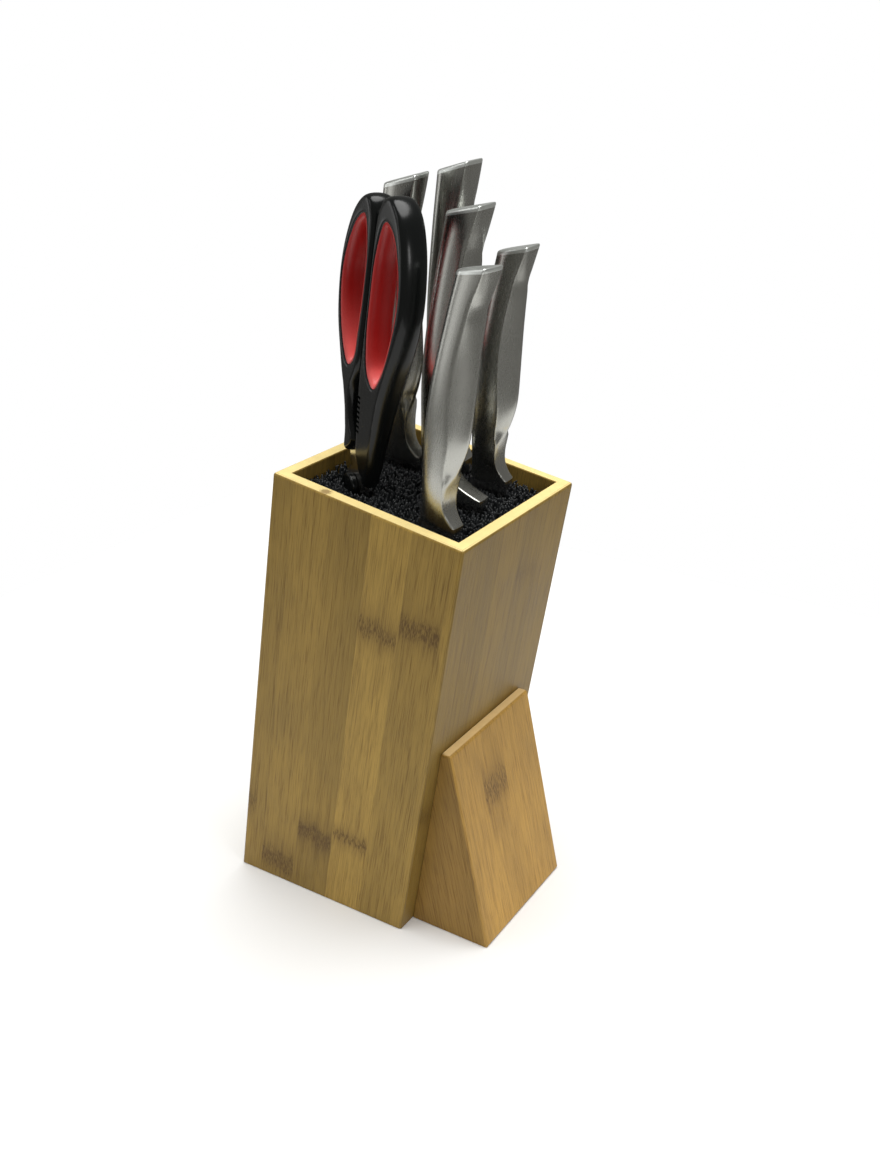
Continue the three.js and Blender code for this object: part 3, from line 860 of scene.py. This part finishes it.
class KNIFEBLOCK_OT_bristles(bpy.types.Operator):
    """The bundle of upright bristles, with uneven bent tips, in its tray"""

    bl_idname = "knife_block.bristles"
    bl_label = "Bristles"

    def execute(self, context):
        settings = context.scene.knife_block_bristles
        draw = random.Random(settings.seed)
        top = BRISTLE_TOP
        core = copy_node("bristles", "bristle_core")
        slice_away(core, UP * (top - 3.5 * MM), -UP)
        place_piece(core, filament("bristle_core", True), "insert", "bristle", "bristles")

        reach_x = HALF_WIDTH - WALL - 1.2 * MM
        reach_y = HALF_DEPTH - WALL - 1.2 * MM
        slack = 0.4 * MM  # how far a bent bristle may pass that reach
        pitch = settings.pitch
        columns, rows = int(2 * reach_x / pitch), int(2 * reach_y / pitch)
        deep = 9 * MM
        tips = self.one_bristle(settings.radius, deep)
        repeat(tips, columns, (pitch, 0, 0))
        repeat(tips, rows, (0, pitch, 0))
        size = len(tips.data.vertices) // (columns * rows)
        blocked = knife_rooms()
        doomed = set()
        mesh = tips.data
        for k in range(columns * rows):
            first = k * size
            column, row = k % columns, k // columns
            x = -reach_x + (column + 0.5 + draw.uniform(-0.42, 0.42) + 0.5 * (row % 2)) * pitch
            y = -reach_y + (row + 0.5 + draw.uniform(-0.42, 0.42)) * pitch
            tip = top + 1.3 * MM - settings.lowest * draw.random() ** 1.2
            bend = draw.uniform(0.3, 2.6) * MM
            way = draw.uniform(0, math.tau)
            foot_point = Vector((x, y, top))
            if abs(x) > reach_x or any(room(foot_point) for room in blocked):
                doomed.update(range(first, first + size))
                continue
            if any(room(foot_point, 2.2 * MM) for room in blocked):
                tip = min(tip, top - 0.6 * MM)
            for i in range(first, first + size):
                co = mesh.vertices[i].co
                local = Vector((co.x - column * pitch, co.y - row * pitch, co.z))
                share = 1 + local.z / deep
                shift = Vector((math.cos(way), math.sin(way), 0)) * bend * share ** 2
                point = Vector((x, y, tip)) + local + shift
                point.x = max(-reach_x - slack, min(reach_x + slack, point.x))
                point.y = max(-reach_y - slack, min(reach_y + slack, point.y))
                mesh.vertices[i].co = point
        edit(tips)
        bpy.ops.mesh.select_mode(type="VERT")
        bpy.ops.mesh.select_all(action="DESELECT")
        built = bmesh.from_edit_mesh(mesh)
        for vertex in built.verts:
            vertex.select_set(vertex.index in doomed)
        built.select_flush(True)
        bmesh.update_edit_mesh(mesh)
        bpy.ops.mesh.delete(type="VERT")
        bpy.ops.mesh.select_all(action="SELECT")
        bpy.ops.mesh.faces_shade_smooth()
        object_mode()
        tips.name = "bristle_tips"
        turn_into_row(tips)
        place_piece(tips, filament("bristle_tips", False), "insert", "bristle")
        self.sides(draw)
        paint(NODES["insert_tray"], plastic("tray_plastic", settings.tray_colour, 0.45))
        return {"FINISHED"}

    @staticmethod
    def one_bristle(radius, deep):
        """One bristle with a round tip at height 0, in three lengths so that it can bend."""
        deselect_all()
        bpy.ops.mesh.primitive_circle_add(
            vertices=5, radius=radius, fill_type="NGON", location=(0, 0, -deep),
        )
        obj = bpy.context.object
        apply_place()
        edit(obj)
        bpy.ops.mesh.select_all(action="SELECT")
        for step in (0.55, 0.39):
            bpy.ops.mesh.extrude_region_move(TRANSFORM_OT_translate={"value": (0, 0, step * deep)})
        bpy.ops.mesh.extrude_region_move(TRANSFORM_OT_translate={"value": (0, 0, 0.06 * deep)})
        bpy.ops.transform.resize(value=(0.55, 0.55, 1))
        bpy.ops.mesh.select_all(action="SELECT")
        bpy.ops.mesh.normals_make_consistent(inside=False)
        object_mode()
        return obj

    @staticmethod
    def sides(draw):
        """Full-length bristles round the bundle, over the tray's walls."""
        hi = block_box("bristles")[1]
        tray_top = block_box("insert_tray")[1].z
        radius = 0.62 * MM
        long = BRISTLE_TOP - 3 * MM - tray_top
        x, y = hi.x + 0.9 * MM, hi.y + 0.9 * MM
        pitch = 1.42 * MM
        places = []
        for step in range(int(2 * x / pitch) + 1):
            places += [(-x + step * pitch, -y), (-x + step * pitch, y)]
        for step in range(1, int(2 * y / pitch)):
            places += [(-x, -y + step * pitch), (x, -y + step * pitch)]
        rod = add_cylinder("bristle_sides", radius, long, (0, 0, tray_top + long / 2), 6)
        # The copies start a metre apart, so that each one's place is easy to take away again.
        repeat(rod, len(places), (1, 0, 0))
        size = len(rod.data.vertices) // len(places)
        for k, (px, py) in enumerate(places):
            nudge = Vector((draw.uniform(-0.2, 0.2), draw.uniform(-0.2, 0.2), draw.uniform(-2.5, 0))) * MM
            for i in range(k * size, (k + 1) * size):
                co = rod.data.vertices[i].co
                upper = co.z > tray_top + long / 2
                co.x += px - k + (nudge.x if upper else 0)
                co.y += py + (nudge.y if upper else 0)
                co.z += nudge.z if upper else 0
        turn_into_row(rod)
        place_piece(rod, filament("bristle_sides", False), "insert", "bristle")


# ---------- knives ----------

# foot is the handle's spine corner: x and y in the block's axes, and its rise over the bristle
# tips. turns are spin, lean and roll in degrees. Then come the handle's length and width, the
# guard's reach and the blade's width at its heel, all in millimetres.
Knife = namedtuple("Knife", "foot turns length width guard heel")
KNIVES = {
    "bread": Knife((-37.5, 16, 1.2), (9, -6.8, 1.5), 135, 23, 6, 22),
    "carving": Knife((-17, 34, 1.2), (3, -8.2, 1), 143, 23, 3.5, 20),
    "chef": Knife((-1.5, -2, 1.5), (4, -3.6, 0), 133.5, 23.5, 17, 33),
    "utility": Knife((9.5, 25.5, 3.6), (4, -3.4, -0.5), 113, 21, 6, 20),
    "paring": Knife((18.2, -33.5, 4.2), (-4, 0, 0), 117, 20.5, 6.5, 19),
}
SHEARS_PIVOT = (-27, -19.5, -0.8)
SHEARS_SPIN = -29

# Shares of the handle's width, at shares of its length.
SPINE = [(0, 0), (0.08, 0), (0.25, -0.08), (0.4, -0.14), (0.55, -0.13), (0.75, -0.05), (1, 0.08)]
BELLY = [
    (0, 0.72), (0.1, 0.69), (0.16, 0.69), (0.22, 0.76), (0.31, 0.89), (0.38, 0.94),
    (0.5, 0.92), (0.57, 0.9), (0.72, 0.86), (0.9, 0.84), (1, 0.9),
]
HALF = [(0, 0.2), (0.05, 0.23), (0.12, 0.28), (0.25, 0.35), (0.42, 0.4), (0.6, 0.4), (0.8, 0.37), (1, 0.35)]
# Where the crease runs, from spine to belly.
CREASE = [
    (0, 0.9), (0.1, 0.9), (0.18, 0.86), (0.28, 0.78), (0.42, 0.68), (0.55, 0.63), (0.7, 0.65),
    (0.85, 0.77), (1, 0.93),
]
GUARD_TIP = 3.2
GUARD_RISE = 12
BUTT_SLANT = math.tan(math.radians(17))
CAP = 2.2

# Heights of the outlines near the foot, and how far the lowest and the butt's outlines stand in,
# for a rounded edge. The butt's are measured down from its top.
FOOT_HEIGHTS = [0, 0.25, 0.9, 2.2, 2.9, GUARD_TIP, 3.7, 4.4, 5.2, 6.2, 7.5, 9, 10.5, 12.5, 15.2]
FOOT_INSETS = {0: 0.75, 0.25: 0.3, 0.9: 0.05}
CAP_INSETS = {CAP: 0, 1.3: 0, 0.8: 0.06, 0.4: 0.24, 0.12: 0.6, 0: 1.15}
SHELL_STEPS = 34
CROWN_STEPS = 22
FACET_STEPS = 16


def knife_matrix(knife):
    """From a knife's own axes, at its foot's spine corner, to the row's."""
    spin, lean, roll = (math.radians(t) for t in knife.turns)
    x, y, rise = (c * MM for c in knife.foot)
    turn = Matrix.Rotation(lean, 4, "Y") @ Matrix.Rotation(roll, 4, "X") @ Matrix.Rotation(spin, 4, "Z")
    return TO_ROW @ Matrix.Translation((x, y, BRISTLE_TOP + rise)) @ turn


def knife_rooms():
    """Tests for a point in the block's axes: does a blade or the shears' pivot stand there?

    With foot given, the test is for a knife's foot with that much room round it.
    """
    rooms = []
    room = 1.6 * MM
    for knife in KNIVES.values():
        back = (TO_BLOCK @ knife_matrix(knife)).inverted()

        def in_knife(point, foot=0.0, back=back, knife=knife):
            local = back @ point
            width = knife.width * MM
            if foot:
                return -foot < local.x < width + foot and abs(local.y) < width * 0.24 + foot
            return -room < local.x < knife.heel * MM + room and abs(local.y) < 2.1 * MM

        rooms.append(in_knife)
    turn = Matrix.Rotation(math.radians(-SHEARS_SPIN), 4, "Z")
    pivot = Vector((SHEARS_PIVOT[0], SHEARS_PIVOT[1], 0)) * MM

    def in_shears(point, foot=0.0):
        if foot:
            return False
        local = turn @ (point - pivot)
        blades = abs(local.x) < 13.2 * MM and abs(local.y) < 3.6 * MM
        boss = abs(local.x) < 9.6 * MM and abs(local.y) < 7.2 * MM
        return blades or boss

    rooms.append(in_shears)
    return rooms


class KNIFEBLOCK_OT_knives(bpy.types.Operator):
    """Hollow steel handles with a creased side, polished butts, and ground blades"""

    bl_idname = "knife_block.knives"
    bl_label = "Knives"

    def execute(self, context):
        settings = context.scene.knife_block_steel
        satin = steel("satin_steel", settings.satin, settings.satin_roughness, blotch=0.12)
        bright = steel(
            "polished_steel", settings.bright, settings.bright_roughness, blotch=0.05, grain=0.000004,
        )
        ground = steel("ground_steel", settings.ground, 0.24, (0, math.pi / 2, 0), 0.05)
        for name, knife in KNIVES.items():
            matrix = knife_matrix(knife)
            body = f"{name}_knife"
            length = knife.length
            top = length - CAP
            upper = [lerp(FOOT_HEIGHTS[-1], top, (i + 1) / SHELL_STEPS) for i in range(SHELL_STEPS)]
            heights = FOOT_HEIGHTS + upper
            rings = [self.ring(h, knife, FOOT_INSETS.get(h, 0)) for h in heights]
            shell = tube_of_rings(f"{name}_handle_shell", rings, matrix)
            shade_by_angle(shell, 50)
            place_piece(shell, satin, body, "satin_steel", f"{name}_knife_handle")
            rings = [self.ring(length - below, knife, inset) for below, inset in CAP_INSETS.items()]
            cap = tube_of_rings(f"{name}_handle_butt", rings, matrix)
            shade_by_angle(cap, 50)
            place_piece(cap, bright, body, "bright_steel", f"{name}_knife_end_cap")
            paint(NODES[f"{name}_knife_blade"], ground)
        return {"FINISHED"}

    @staticmethod
    def ring(height, knife, inset):
        """The handle's outline at a height: spine, crowned side, crease, flat facet and belly."""
        width = knife.width
        s = height / knife.length
        hollow = min(max((height - GUARD_TIP) / GUARD_RISE, 0), 1)
        spine = width * through(SPINE, s) + inset
        belly = width * through(BELLY, s) + knife.guard * (1 - hollow) ** 2.4 - inset
        half = width * through(HALF, s) - inset
        plain = width * through(BELLY, s) - inset
        ridge = lerp(spine, plain, through(CREASE, s))
        slant = BUTT_SLANT * smoothstep(s, 0.8, 1)
        middle = (spine + belly) / 2
        fullness = lerp(2.3, 2.7, smoothstep(s, 0, 0.2))
        # On the guard the side runs on flat to the guard's end, without a crease.
        end = lerp(9.0, lerp(0.62, 3.0, smoothstep(s, 0.82, 1)), smoothstep(s, 0.1, 0.26))
        side = []
        for i in range(CROWN_STEPS):
            angle = math.pi / 2 * i / CROWN_STEPS
            x = ridge - (ridge - spine) * math.cos(angle) ** (2 / fullness)
            side.append((x, half * math.sin(angle) ** (2 / fullness)))
        side.append((ridge - 0.25, half))
        for i in range(FACET_STEPS + 1):
            t = 1 - (1 - i / FACET_STEPS) ** 1.8
            t = max(t, min(0.3 / max(belly - ridge, 0.5), 0.08))
            x = lerp(ridge, belly, t)
            if end < 1:
                y = half * max(1 - t, 0) ** end
            else:
                y = half * max(1 - t ** end, 0) ** (1 / end)
            side.append((x, y))
        outline = [(x, -y) for x, y in side] + [(x, y) for x, y in reversed(side[1:-1])]
        return [Vector((x, y, height + slant * (x - middle))) * MM for x, y in outline]


# ---------- shears ----------

# Outlines of the closed shears in millimetres over the pivot, on the large handle's side of the seam.
LARGE = {
    "side": 1,
    "outline": [
        (0, 20), (0, 50), (0, 90), (0, 120), (1.5, 131), (6, 137.5), (12.5, 138.5), (21, 133), (28, 121),
        (32, 104), (32.3, 90), (29.5, 75), (24.5, 58), (20.5, 42), (18, 25), (16.5, 12), (13.5, 4.5),
        (8.5, 7), (3, 13),
    ],
    "hole": [
        (3, 92), (4, 113), (9.5, 127.5), (17.5, 125), (25.5, 112), (28.5, 98), (26.5, 80), (21, 62),
        (15, 55), (8, 60), (4, 74),
    ],
}
SMALL = {
    "side": -1,
    "outline": [
        (1, 22), (5, 33), (5.5, 46), (0.5, 60), (0, 90), (0, 118), (1.5, 128), (6, 134), (12, 134.5),
        (20, 128), (26.5, 115), (29.6, 98), (27.5, 76), (20, 56), (14, 40), (11.5, 25), (11, 14.5),
        (6, 15.5),
    ],
    "hole": [
        (3, 95), (4, 113), (9.5, 126), (16, 122.5), (22.5, 111), (26, 96), (23.5, 78), (17, 63),
        (11, 57), (5.5, 62), (4, 76),
    ],
}
SEAM = 0.7  # between the closed handles
THICK = 13.0
NECK = 62.0  # height at which the handles reach that thickness
NECK_SHARE = 0.6  # of it, by the pivot
LINING = 2.6
EDGE_STEPS = 9
LINING_STEPS = 12
HEAD_RADIUS = 6.2 * MM
HEAD_HEIGHT = 3 * MM
SHANK_RADIUS = 2.6 * MM
NOTCHES = 8
NOTCH_PITCH = 2.4 * MM


def closed_curve(points, spacing):
    """A closed smooth line through points, turning left, evenly spaced and kept at x >= 0."""
    dense = []
    count = len(points)
    for i in range(count):
        p0, p1, p2, p3 = (Vector(points[(i + k) % count]) for k in (-1, 0, 1, 2))
        # Centripetal Catmull-Rom.
        t1 = max((p1 - p0).length, 1e-4) ** 0.5
        t2 = t1 + max((p2 - p1).length, 1e-4) ** 0.5
        t3 = t2 + max((p3 - p2).length, 1e-4) ** 0.5
        for k in range(24):
            t = lerp(t1, t2, k / 24)
            a1 = p0 * ((t1 - t) / t1) + p1 * (t / t1)
            a2 = p1 * ((t2 - t) / (t2 - t1)) + p2 * ((t - t1) / (t2 - t1))
            a3 = p2 * ((t3 - t) / (t3 - t2)) + p3 * ((t - t2) / (t3 - t2))
            b1 = a1 * ((t2 - t) / t2) + a2 * (t / t2)
            b2 = a2 * ((t3 - t) / (t3 - t1)) + a3 * ((t - t1) / (t3 - t1))
            dense.append(b1 * ((t2 - t) / (t2 - t1)) + b2 * ((t - t1) / (t2 - t1)))
    dense = [Vector((max(p.x, 0), p.y)) for p in dense]
    total = sum((dense[i] - dense[i - 1]).length for i in range(len(dense)))
    number = int(total / spacing)
    line, walked, k = [], 0.0, 0
    for i in range(number):
        goal = total * i / number
        while True:
            a, b = dense[k % len(dense)], dense[(k + 1) % len(dense)]
            step = (b - a).length
            if walked + step >= goal or step == 0 and k > 4 * len(dense):
                break
            walked += step
            k += 1
        line.append(a.lerp(b, (goal - walked) / step if step else 0))
    if not turns_left(line):
        line.reverse()
    return line


def offset_curve(line, distance):
    """The closed line moved sideways, to its left for a positive distance."""
    moved = []
    for i, p in enumerate(line):
        along = (line[(i + 1) % len(line)] - line[i - 1]).normalized()
        moved.append(Vector((p.x - along.y * distance, p.y + along.x * distance)))
    return moved


def turns_left(line):
    area = sum(a.x * b.y - b.x * a.y for a, b in zip(line, line[1:] + line[:1]))
    return area > 0


def neck_share(z):
    return lerp(NECK_SHARE, 1, smoothstep(z, 0, NECK))


SHEARS_MATRIX = (
    TO_ROW
    @ Matrix.Translation(Vector((SHEARS_PIVOT[0], SHEARS_PIVOT[1], 0)) * MM)
    @ Matrix.Translation((0, 0, BRISTLE_TOP + SHEARS_PIVOT[2] * MM))
    @ Matrix.Rotation(math.radians(SHEARS_SPIN), 4, "Z")
)


class KNIFEBLOCK_OT_shears(bpy.types.Operator):
    """Round black handles with a soft red lining, the pivot and both blades"""

    bl_idname = "knife_block.shears"
    bl_label = "Shears"

    def execute(self, context):
        settings = context.scene.knife_block_shears
        black = plastic("gloss_black", settings.black, 0.2, 0.00001)
        red = self.soft_red(settings)
        halves = ((LARGE, "shears_front_half", "large"), (SMALL, "shears_back_half", "small"))
        for half, body, word in halves:
            handle = self.handle(half, f"shears_{word}_handle_body", settings.rounding / MM)
            place_piece(handle, black, body, "gloss_black", f"shears_{word}_handle")
            grip = self.lining(half, f"shears_{word}_lining")
            place_piece(grip, red, body, "soft_red", f"shears_{word}_grip")
        screw = self.screw()
        place_piece(screw, black, "shears_front_half", "gloss_black", "pivot_screw")
        blades = steel("shears_steel", settings.blades, 0.2, blotch=0.05)
        paint(NODES["shears_front_blade"], blades)
        paint(NODES["shears_back_blade"], blades)
        paint(NODES["pivot_nut"], steel("nut_steel", settings.nut, 0.3))
        return {"FINISHED"}

    @staticmethod
    def soft_red(settings):
        """Soft rubber, with a painted highlight: paler red where it faces up."""
        shader = Shader("soft_red")
        at = shader.place(scale=IN_MM)
        skin = shader.noise(at, 1.6, 2.0, 0.6)
        facing = shader.parts(shader.make("ShaderNodeTexCoord", output="Normal"))[2]
        # Painted highlight: the more a surface faces up, the more of the pale red it gets.
        pale = (facing + (skin - 0.5) * 0.1).smooth(-0.05, 0.55) * 0.9
        base = shader.mix(pale, solid(settings.red), solid(settings.painted_highlight_red))
        return shader.surface(
            Base_Color=base, Roughness=0.36 + (skin - 0.5) * 0.15, Normal=shader.bump(skin, 0.00003, 0.5),
        )

    @staticmethod
    def handle(half, name, rounding):
        """The outline raised in steps to a round edge, closed over the loop's hole, then smoothed."""
        side = half["side"]
        outline = closed_curve(half["outline"], 0.9)
        hole = closed_curve(half["hole"], 0.9)
        vertices, faces = [], []

        def add_loop(line, height):
            start = len(vertices)
            for p in line:
                vertices.append((side * (p.x + SEAM / 2), height * neck_share(p.y), p.y))
            return start, len(line)

        def stitch(a, b):
            for i in range(a[1]):
                j = (i + 1) % a[1]
                faces.append((a[0] + i, a[0] + j, b[0] + j, b[0] + i))

        rims = []
        for sign in (-1, 1):
            loops = []
            for k in range(EDGE_STEPS + 1):
                angle = math.pi / 2 * k / EDGE_STEPS
                inset = offset_curve(outline, rounding * (1 - math.cos(angle)))
                loops.append(add_loop(inset, sign * THICK / 2 * math.sin(angle) ** 0.9))
            for a, b in zip(loops, loops[1:]):
                stitch(a, b)
            rims.append((loops[-1], add_loop(hole, sign * THICK / 2)))
        mesh = bpy.data.meshes.new(name)
        mesh.from_pydata([Vector(v) * MM for v in vertices], [], faces)
        obj = bpy.data.objects.new(name, mesh)
        bpy.context.scene.collection.objects.link(obj)
        edit(obj)
        for rim in rims:
            bpy.ops.mesh.select_mode(type="VERT")
            bpy.ops.mesh.select_all(action="DESELECT")
            built = bmesh.from_edit_mesh(mesh)
            built.verts.ensure_lookup_table()
            for start, count in rim:
                ring = [built.verts[start + i] for i in range(count)]
                for a, b in zip(ring, ring[1:] + ring[:1]):
                    found = built.edges.get((a, b)) or built.edges.new((a, b))
                    found.select_set(True)
            bmesh.update_edit_mesh(mesh)
            bpy.ops.mesh.select_mode(type="EDGE")
            bpy.ops.mesh.fill(use_beauty=True)
        # The hole's wall, between its two rows.
        built = bmesh.from_edit_mesh(mesh)
        built.verts.ensure_lookup_table()
        low, high = rims[0][1], rims[1][1]
        for i in range(low[1]):
            j = (i + 1) % low[1]
            corners = (low[0] + i, low[0] + j, high[0] + j, high[0] + i)
            built.faces.new([built.verts[n] for n in corners])
        bmesh.update_edit_mesh(mesh)
        bpy.ops.mesh.select_all(action="SELECT")
        bpy.ops.mesh.remove_doubles(threshold=1e-6)
        bpy.ops.mesh.normals_make_consistent(inside=False)
        apply_modifier(obj, "REMESH", mode="VOXEL", voxel_size=0.62 * MM, use_smooth_shade=True)
        apply_modifier(obj, "SMOOTH", factor=0.5, iterations=9)
        if side > 0:
            cut_notches(obj)
        turn_into_row(obj, SHEARS_MATRIX)
        return obj

    @staticmethod
    def lining(half, name):
        """A soft band round the loop's hole, round on its inner side."""
        side = half["side"]
        hole = closed_curve(half["hole"], 1.1)
        deep = THICK - 0.9
        section = []
        for k in range(LINING_STEPS + 1):
            angle = math.pi * (k / LINING_STEPS - 0.5)
            section.append((0.15 + LINING * math.cos(angle) ** 0.75, deep / 2 * math.sin(angle)))
        section += [(-0.35, deep / 2 - 0.45), (-0.5, 0), (-0.35, -deep / 2 + 0.45)]
        rings = []
        columns = [offset_curve(hole, inward) for inward, _ in section]
        for i in range(len(hole)):
            ring = []
            for column, (_, y) in zip(columns, section):
                p = column[i]
                ring.append(Vector((side * (p.x + SEAM / 2), y * neck_share(p.y), p.y)) * MM)
            rings.append(ring)
        rings.append([p.copy() for p in rings[0]])
        obj = tube_of_rings(name, rings, SHEARS_MATRIX, closed=True)
        shade_by_angle(obj, 45)
        return obj

    @staticmethod
    def screw():
        """A domed head on a shank, across both blades."""
        lying = (math.pi / 2, 0, 0)
        middle = -4.15 * MM
        head = add_cylinder("pivot_cap", HEAD_RADIUS, HEAD_HEIGHT, (0, middle, 0), 48, lying)
        edit(head)
        face = middle - HEAD_HEIGHT / 2
        pick(head, "FACE", lambda middle, normal: normal.y < -0.5)
        bpy.ops.mesh.inset(thickness=1.2 * MM, depth=0)
        bpy.ops.mesh.inset(thickness=2.2 * MM, depth=0)
        bpy.ops.transform.translate(value=(0, -0.25 * MM, 0))
        bevel_edges(
            head,
            lambda co, way: co.y < face + 1e-5 and math.hypot(co.x, co.z) > HEAD_RADIUS - 0.4 * MM,
            1.1 * MM, 4,
        )
        object_mode()
        shank = add_cylinder("shank", SHANK_RADIUS, 8 * MM, (0, 0.8 * MM, 0), 32, lying)
        select_only(head)
        shank.select_set(True)
        bpy.ops.object.join()
        shade_by_angle(head, 35)
        turn_into_row(head, SHEARS_MATRIX)
        return head


def cut_notches(obj):
    """Notches in the inner edge, for gripping nuts and bottle tops."""
    cutter = add_box("notch", (-2 * MM, -8 * MM, 29 * MM), (5.2 * MM, 8 * MM, 30.3 * MM))
    repeat(cutter, NOTCHES, (0, 0, NOTCH_PITCH))
    apply_modifier(obj, "BOOLEAN", operation="DIFFERENCE", solver="EXACT", object=cutter)
    bpy.data.objects.remove(cutter)
    shade_by_angle(obj, 40)


# ---------- stage ----------


CAMERA_TARGET = Vector((0.04426, 0, 0.17393))
SENSOR_WIDTH = 36

# Each soft light's place, width, height and power in watts.
SOFT_BOXES = {
    "window": ((-0.95, -0.75, 0.34), 0.5, 0.6, 0.8),
    "skylight": ((-0.7, -0.75, 1.0), 0.5, 0.5, 1.2),
    "side": ((-1.1, -0.15, 0.45), 0.25, 0.7, 0.7),
    "strip": ((1.0, -0.42, 0.56), 0.12, 0.3, 1.0),
}
SOFT_BOX_AIM = Vector((0.03, 0, 0.25))


def look_along(direction):
    """The turn that points a camera or a light in a direction."""
    return direction.to_track_quat("-Z", "Y").to_euler()


class KNIFEBLOCK_OT_stage(bpy.types.Operator):
    """A pale floor, soft light and the camera"""

    bl_idname = "knife_block.stage"
    bl_label = "Stage"

    def execute(self, context):
        settings = context.scene.knife_block_stage
        deselect_all()
        bpy.ops.mesh.primitive_plane_add(size=settings.floor_size, location=(0, 0, -0.0004))
        floor = context.object
        floor.name = "floor"
        shader = Shader("floor")
        faint = shader.noise(shader.place(), 3.0, 2.0, 0.5)
        paint(floor, shader.surface(
            Base_Color=shader.times(solid(settings.floor), 0.99 + faint * 0.02),
            Roughness=0.85 + faint * 0.05, Specular_IOR_Level=0.1,
        ))
        self.world(settings)
        self.lights(settings)
        a, e = settings.azimuth, settings.elevation
        back = Vector((math.sin(a) * math.cos(e), -math.cos(a) * math.cos(e), math.sin(e)))
        data = bpy.data.cameras.new("camera")
        data.lens = settings.lens
        data.sensor_width = SENSOR_WIDTH
        data.clip_start = 0.01
        camera = bpy.data.objects.new("camera", data)
        camera.location = CAMERA_TARGET + back * settings.distance
        camera.rotation_euler = look_along(-back)
        context.scene.collection.objects.link(camera)
        context.scene.camera = camera
        context.scene.view_settings.view_transform = "Standard"
        return {"FINISHED"}

    @staticmethod
    def world(settings):
        """White behind the object, and a faint warm light all round it."""
        world = bpy.data.worlds.new("studio")
        bpy.context.scene.world = world
        world.use_nodes = True
        tree = world.node_tree
        tree.nodes.clear()
        path = tree.nodes.new("ShaderNodeLightPath")
        seen = tree.nodes.new("ShaderNodeBackground")
        seen.inputs["Color"].default_value = (1, 1, 1, 1)
        room = tree.nodes.new("ShaderNodeBackground")
        room.inputs["Color"].default_value = (1.0, 0.98, 0.93, 1)
        room.inputs["Strength"].default_value = settings.room_light
        mix = tree.nodes.new("ShaderNodeMixShader")
        out = tree.nodes.new("ShaderNodeOutputWorld")
        tree.links.new(path.outputs["Is Camera Ray"], mix.inputs[0])
        tree.links.new(room.outputs[0], mix.inputs[1])
        tree.links.new(seen.outputs[0], mix.inputs[2])
        tree.links.new(mix.outputs[0], out.inputs["Surface"])

    @staticmethod
    def lights(settings):
        """A broad light overhead, and soft boxes for the reflections."""
        sun = bpy.data.lights.new("overhead", "SUN")
        sun.energy = settings.sunlight
        sun.angle = math.radians(50)
        sun.color = (1.0, 1.0, 0.985)
        overhead = bpy.data.objects.new("overhead", sun)
        overhead.rotation_euler = (math.radians(-4), math.radians(7), 0)
        bpy.context.scene.collection.objects.link(overhead)

        for name, (place, width, height, power) in SOFT_BOXES.items():
            data = bpy.data.lights.new(name, "AREA")
            data.shape = "RECTANGLE"
            data.size = width
            data.size_y = height
            data.energy = power
            light = bpy.data.objects.new(name, data)
            light.location = place
            light.rotation_euler = look_along(SOFT_BOX_AIM - Vector(place))
            bpy.context.scene.collection.objects.link(light)


class KNIFEBLOCK_PT_panel(bpy.types.Panel):
    bl_label = "Knife Block"
    bl_idname = "KNIFEBLOCK_PT_panel"
    bl_space_type = "VIEW_3D"
    bl_region_type = "UI"
    bl_category = "Knife Block"

    def draw(self, context):
        for name in GROUPS:
            column = self.layout.column(align=True)
            group = getattr(context.scene, name)
            for key in group.__annotations__:
                column.prop(group, key)
        for operator in OPERATORS:
            self.layout.operator(operator.bl_idname)


GROUPS = {
    "knife_block_wood": KnifeBlockWood,
    "knife_block_bristles": KnifeBlockBristles,
    "knife_block_steel": KnifeBlockSteel,
    "knife_block_shears": KnifeBlockShears,
    "knife_block_stage": KnifeBlockStage,
}
OPERATORS = [
    KNIFEBLOCK_OT_boards, KNIFEBLOCK_OT_wedge, KNIFEBLOCK_OT_bristles, KNIFEBLOCK_OT_knives,
    KNIFEBLOCK_OT_shears, KNIFEBLOCK_OT_stage,
]


def register():
    for name, group in GROUPS.items():
        bpy.utils.register_class(group)
        setattr(bpy.types.Scene, name, PointerProperty(type=group))
    for operator in OPERATORS:
        bpy.utils.register_class(operator)
    bpy.utils.register_class(KNIFEBLOCK_PT_panel)


def unregister():
    bpy.utils.unregister_class(KNIFEBLOCK_PT_panel)
    for operator in reversed(OPERATORS):
        bpy.utils.unregister_class(operator)
    for name, group in reversed(GROUPS.items()):
        delattr(bpy.types.Scene, name)
        bpy.utils.unregister_class(group)


def main():
    register()
    bpy.ops.knife_block.boards()
    bpy.ops.knife_block.wedge()
    bpy.ops.knife_block.bristles()
    bpy.ops.knife_block.knives()
    bpy.ops.knife_block.shears()
    bpy.ops.knife_block.stage()


if __name__ == "__main__":
    main()
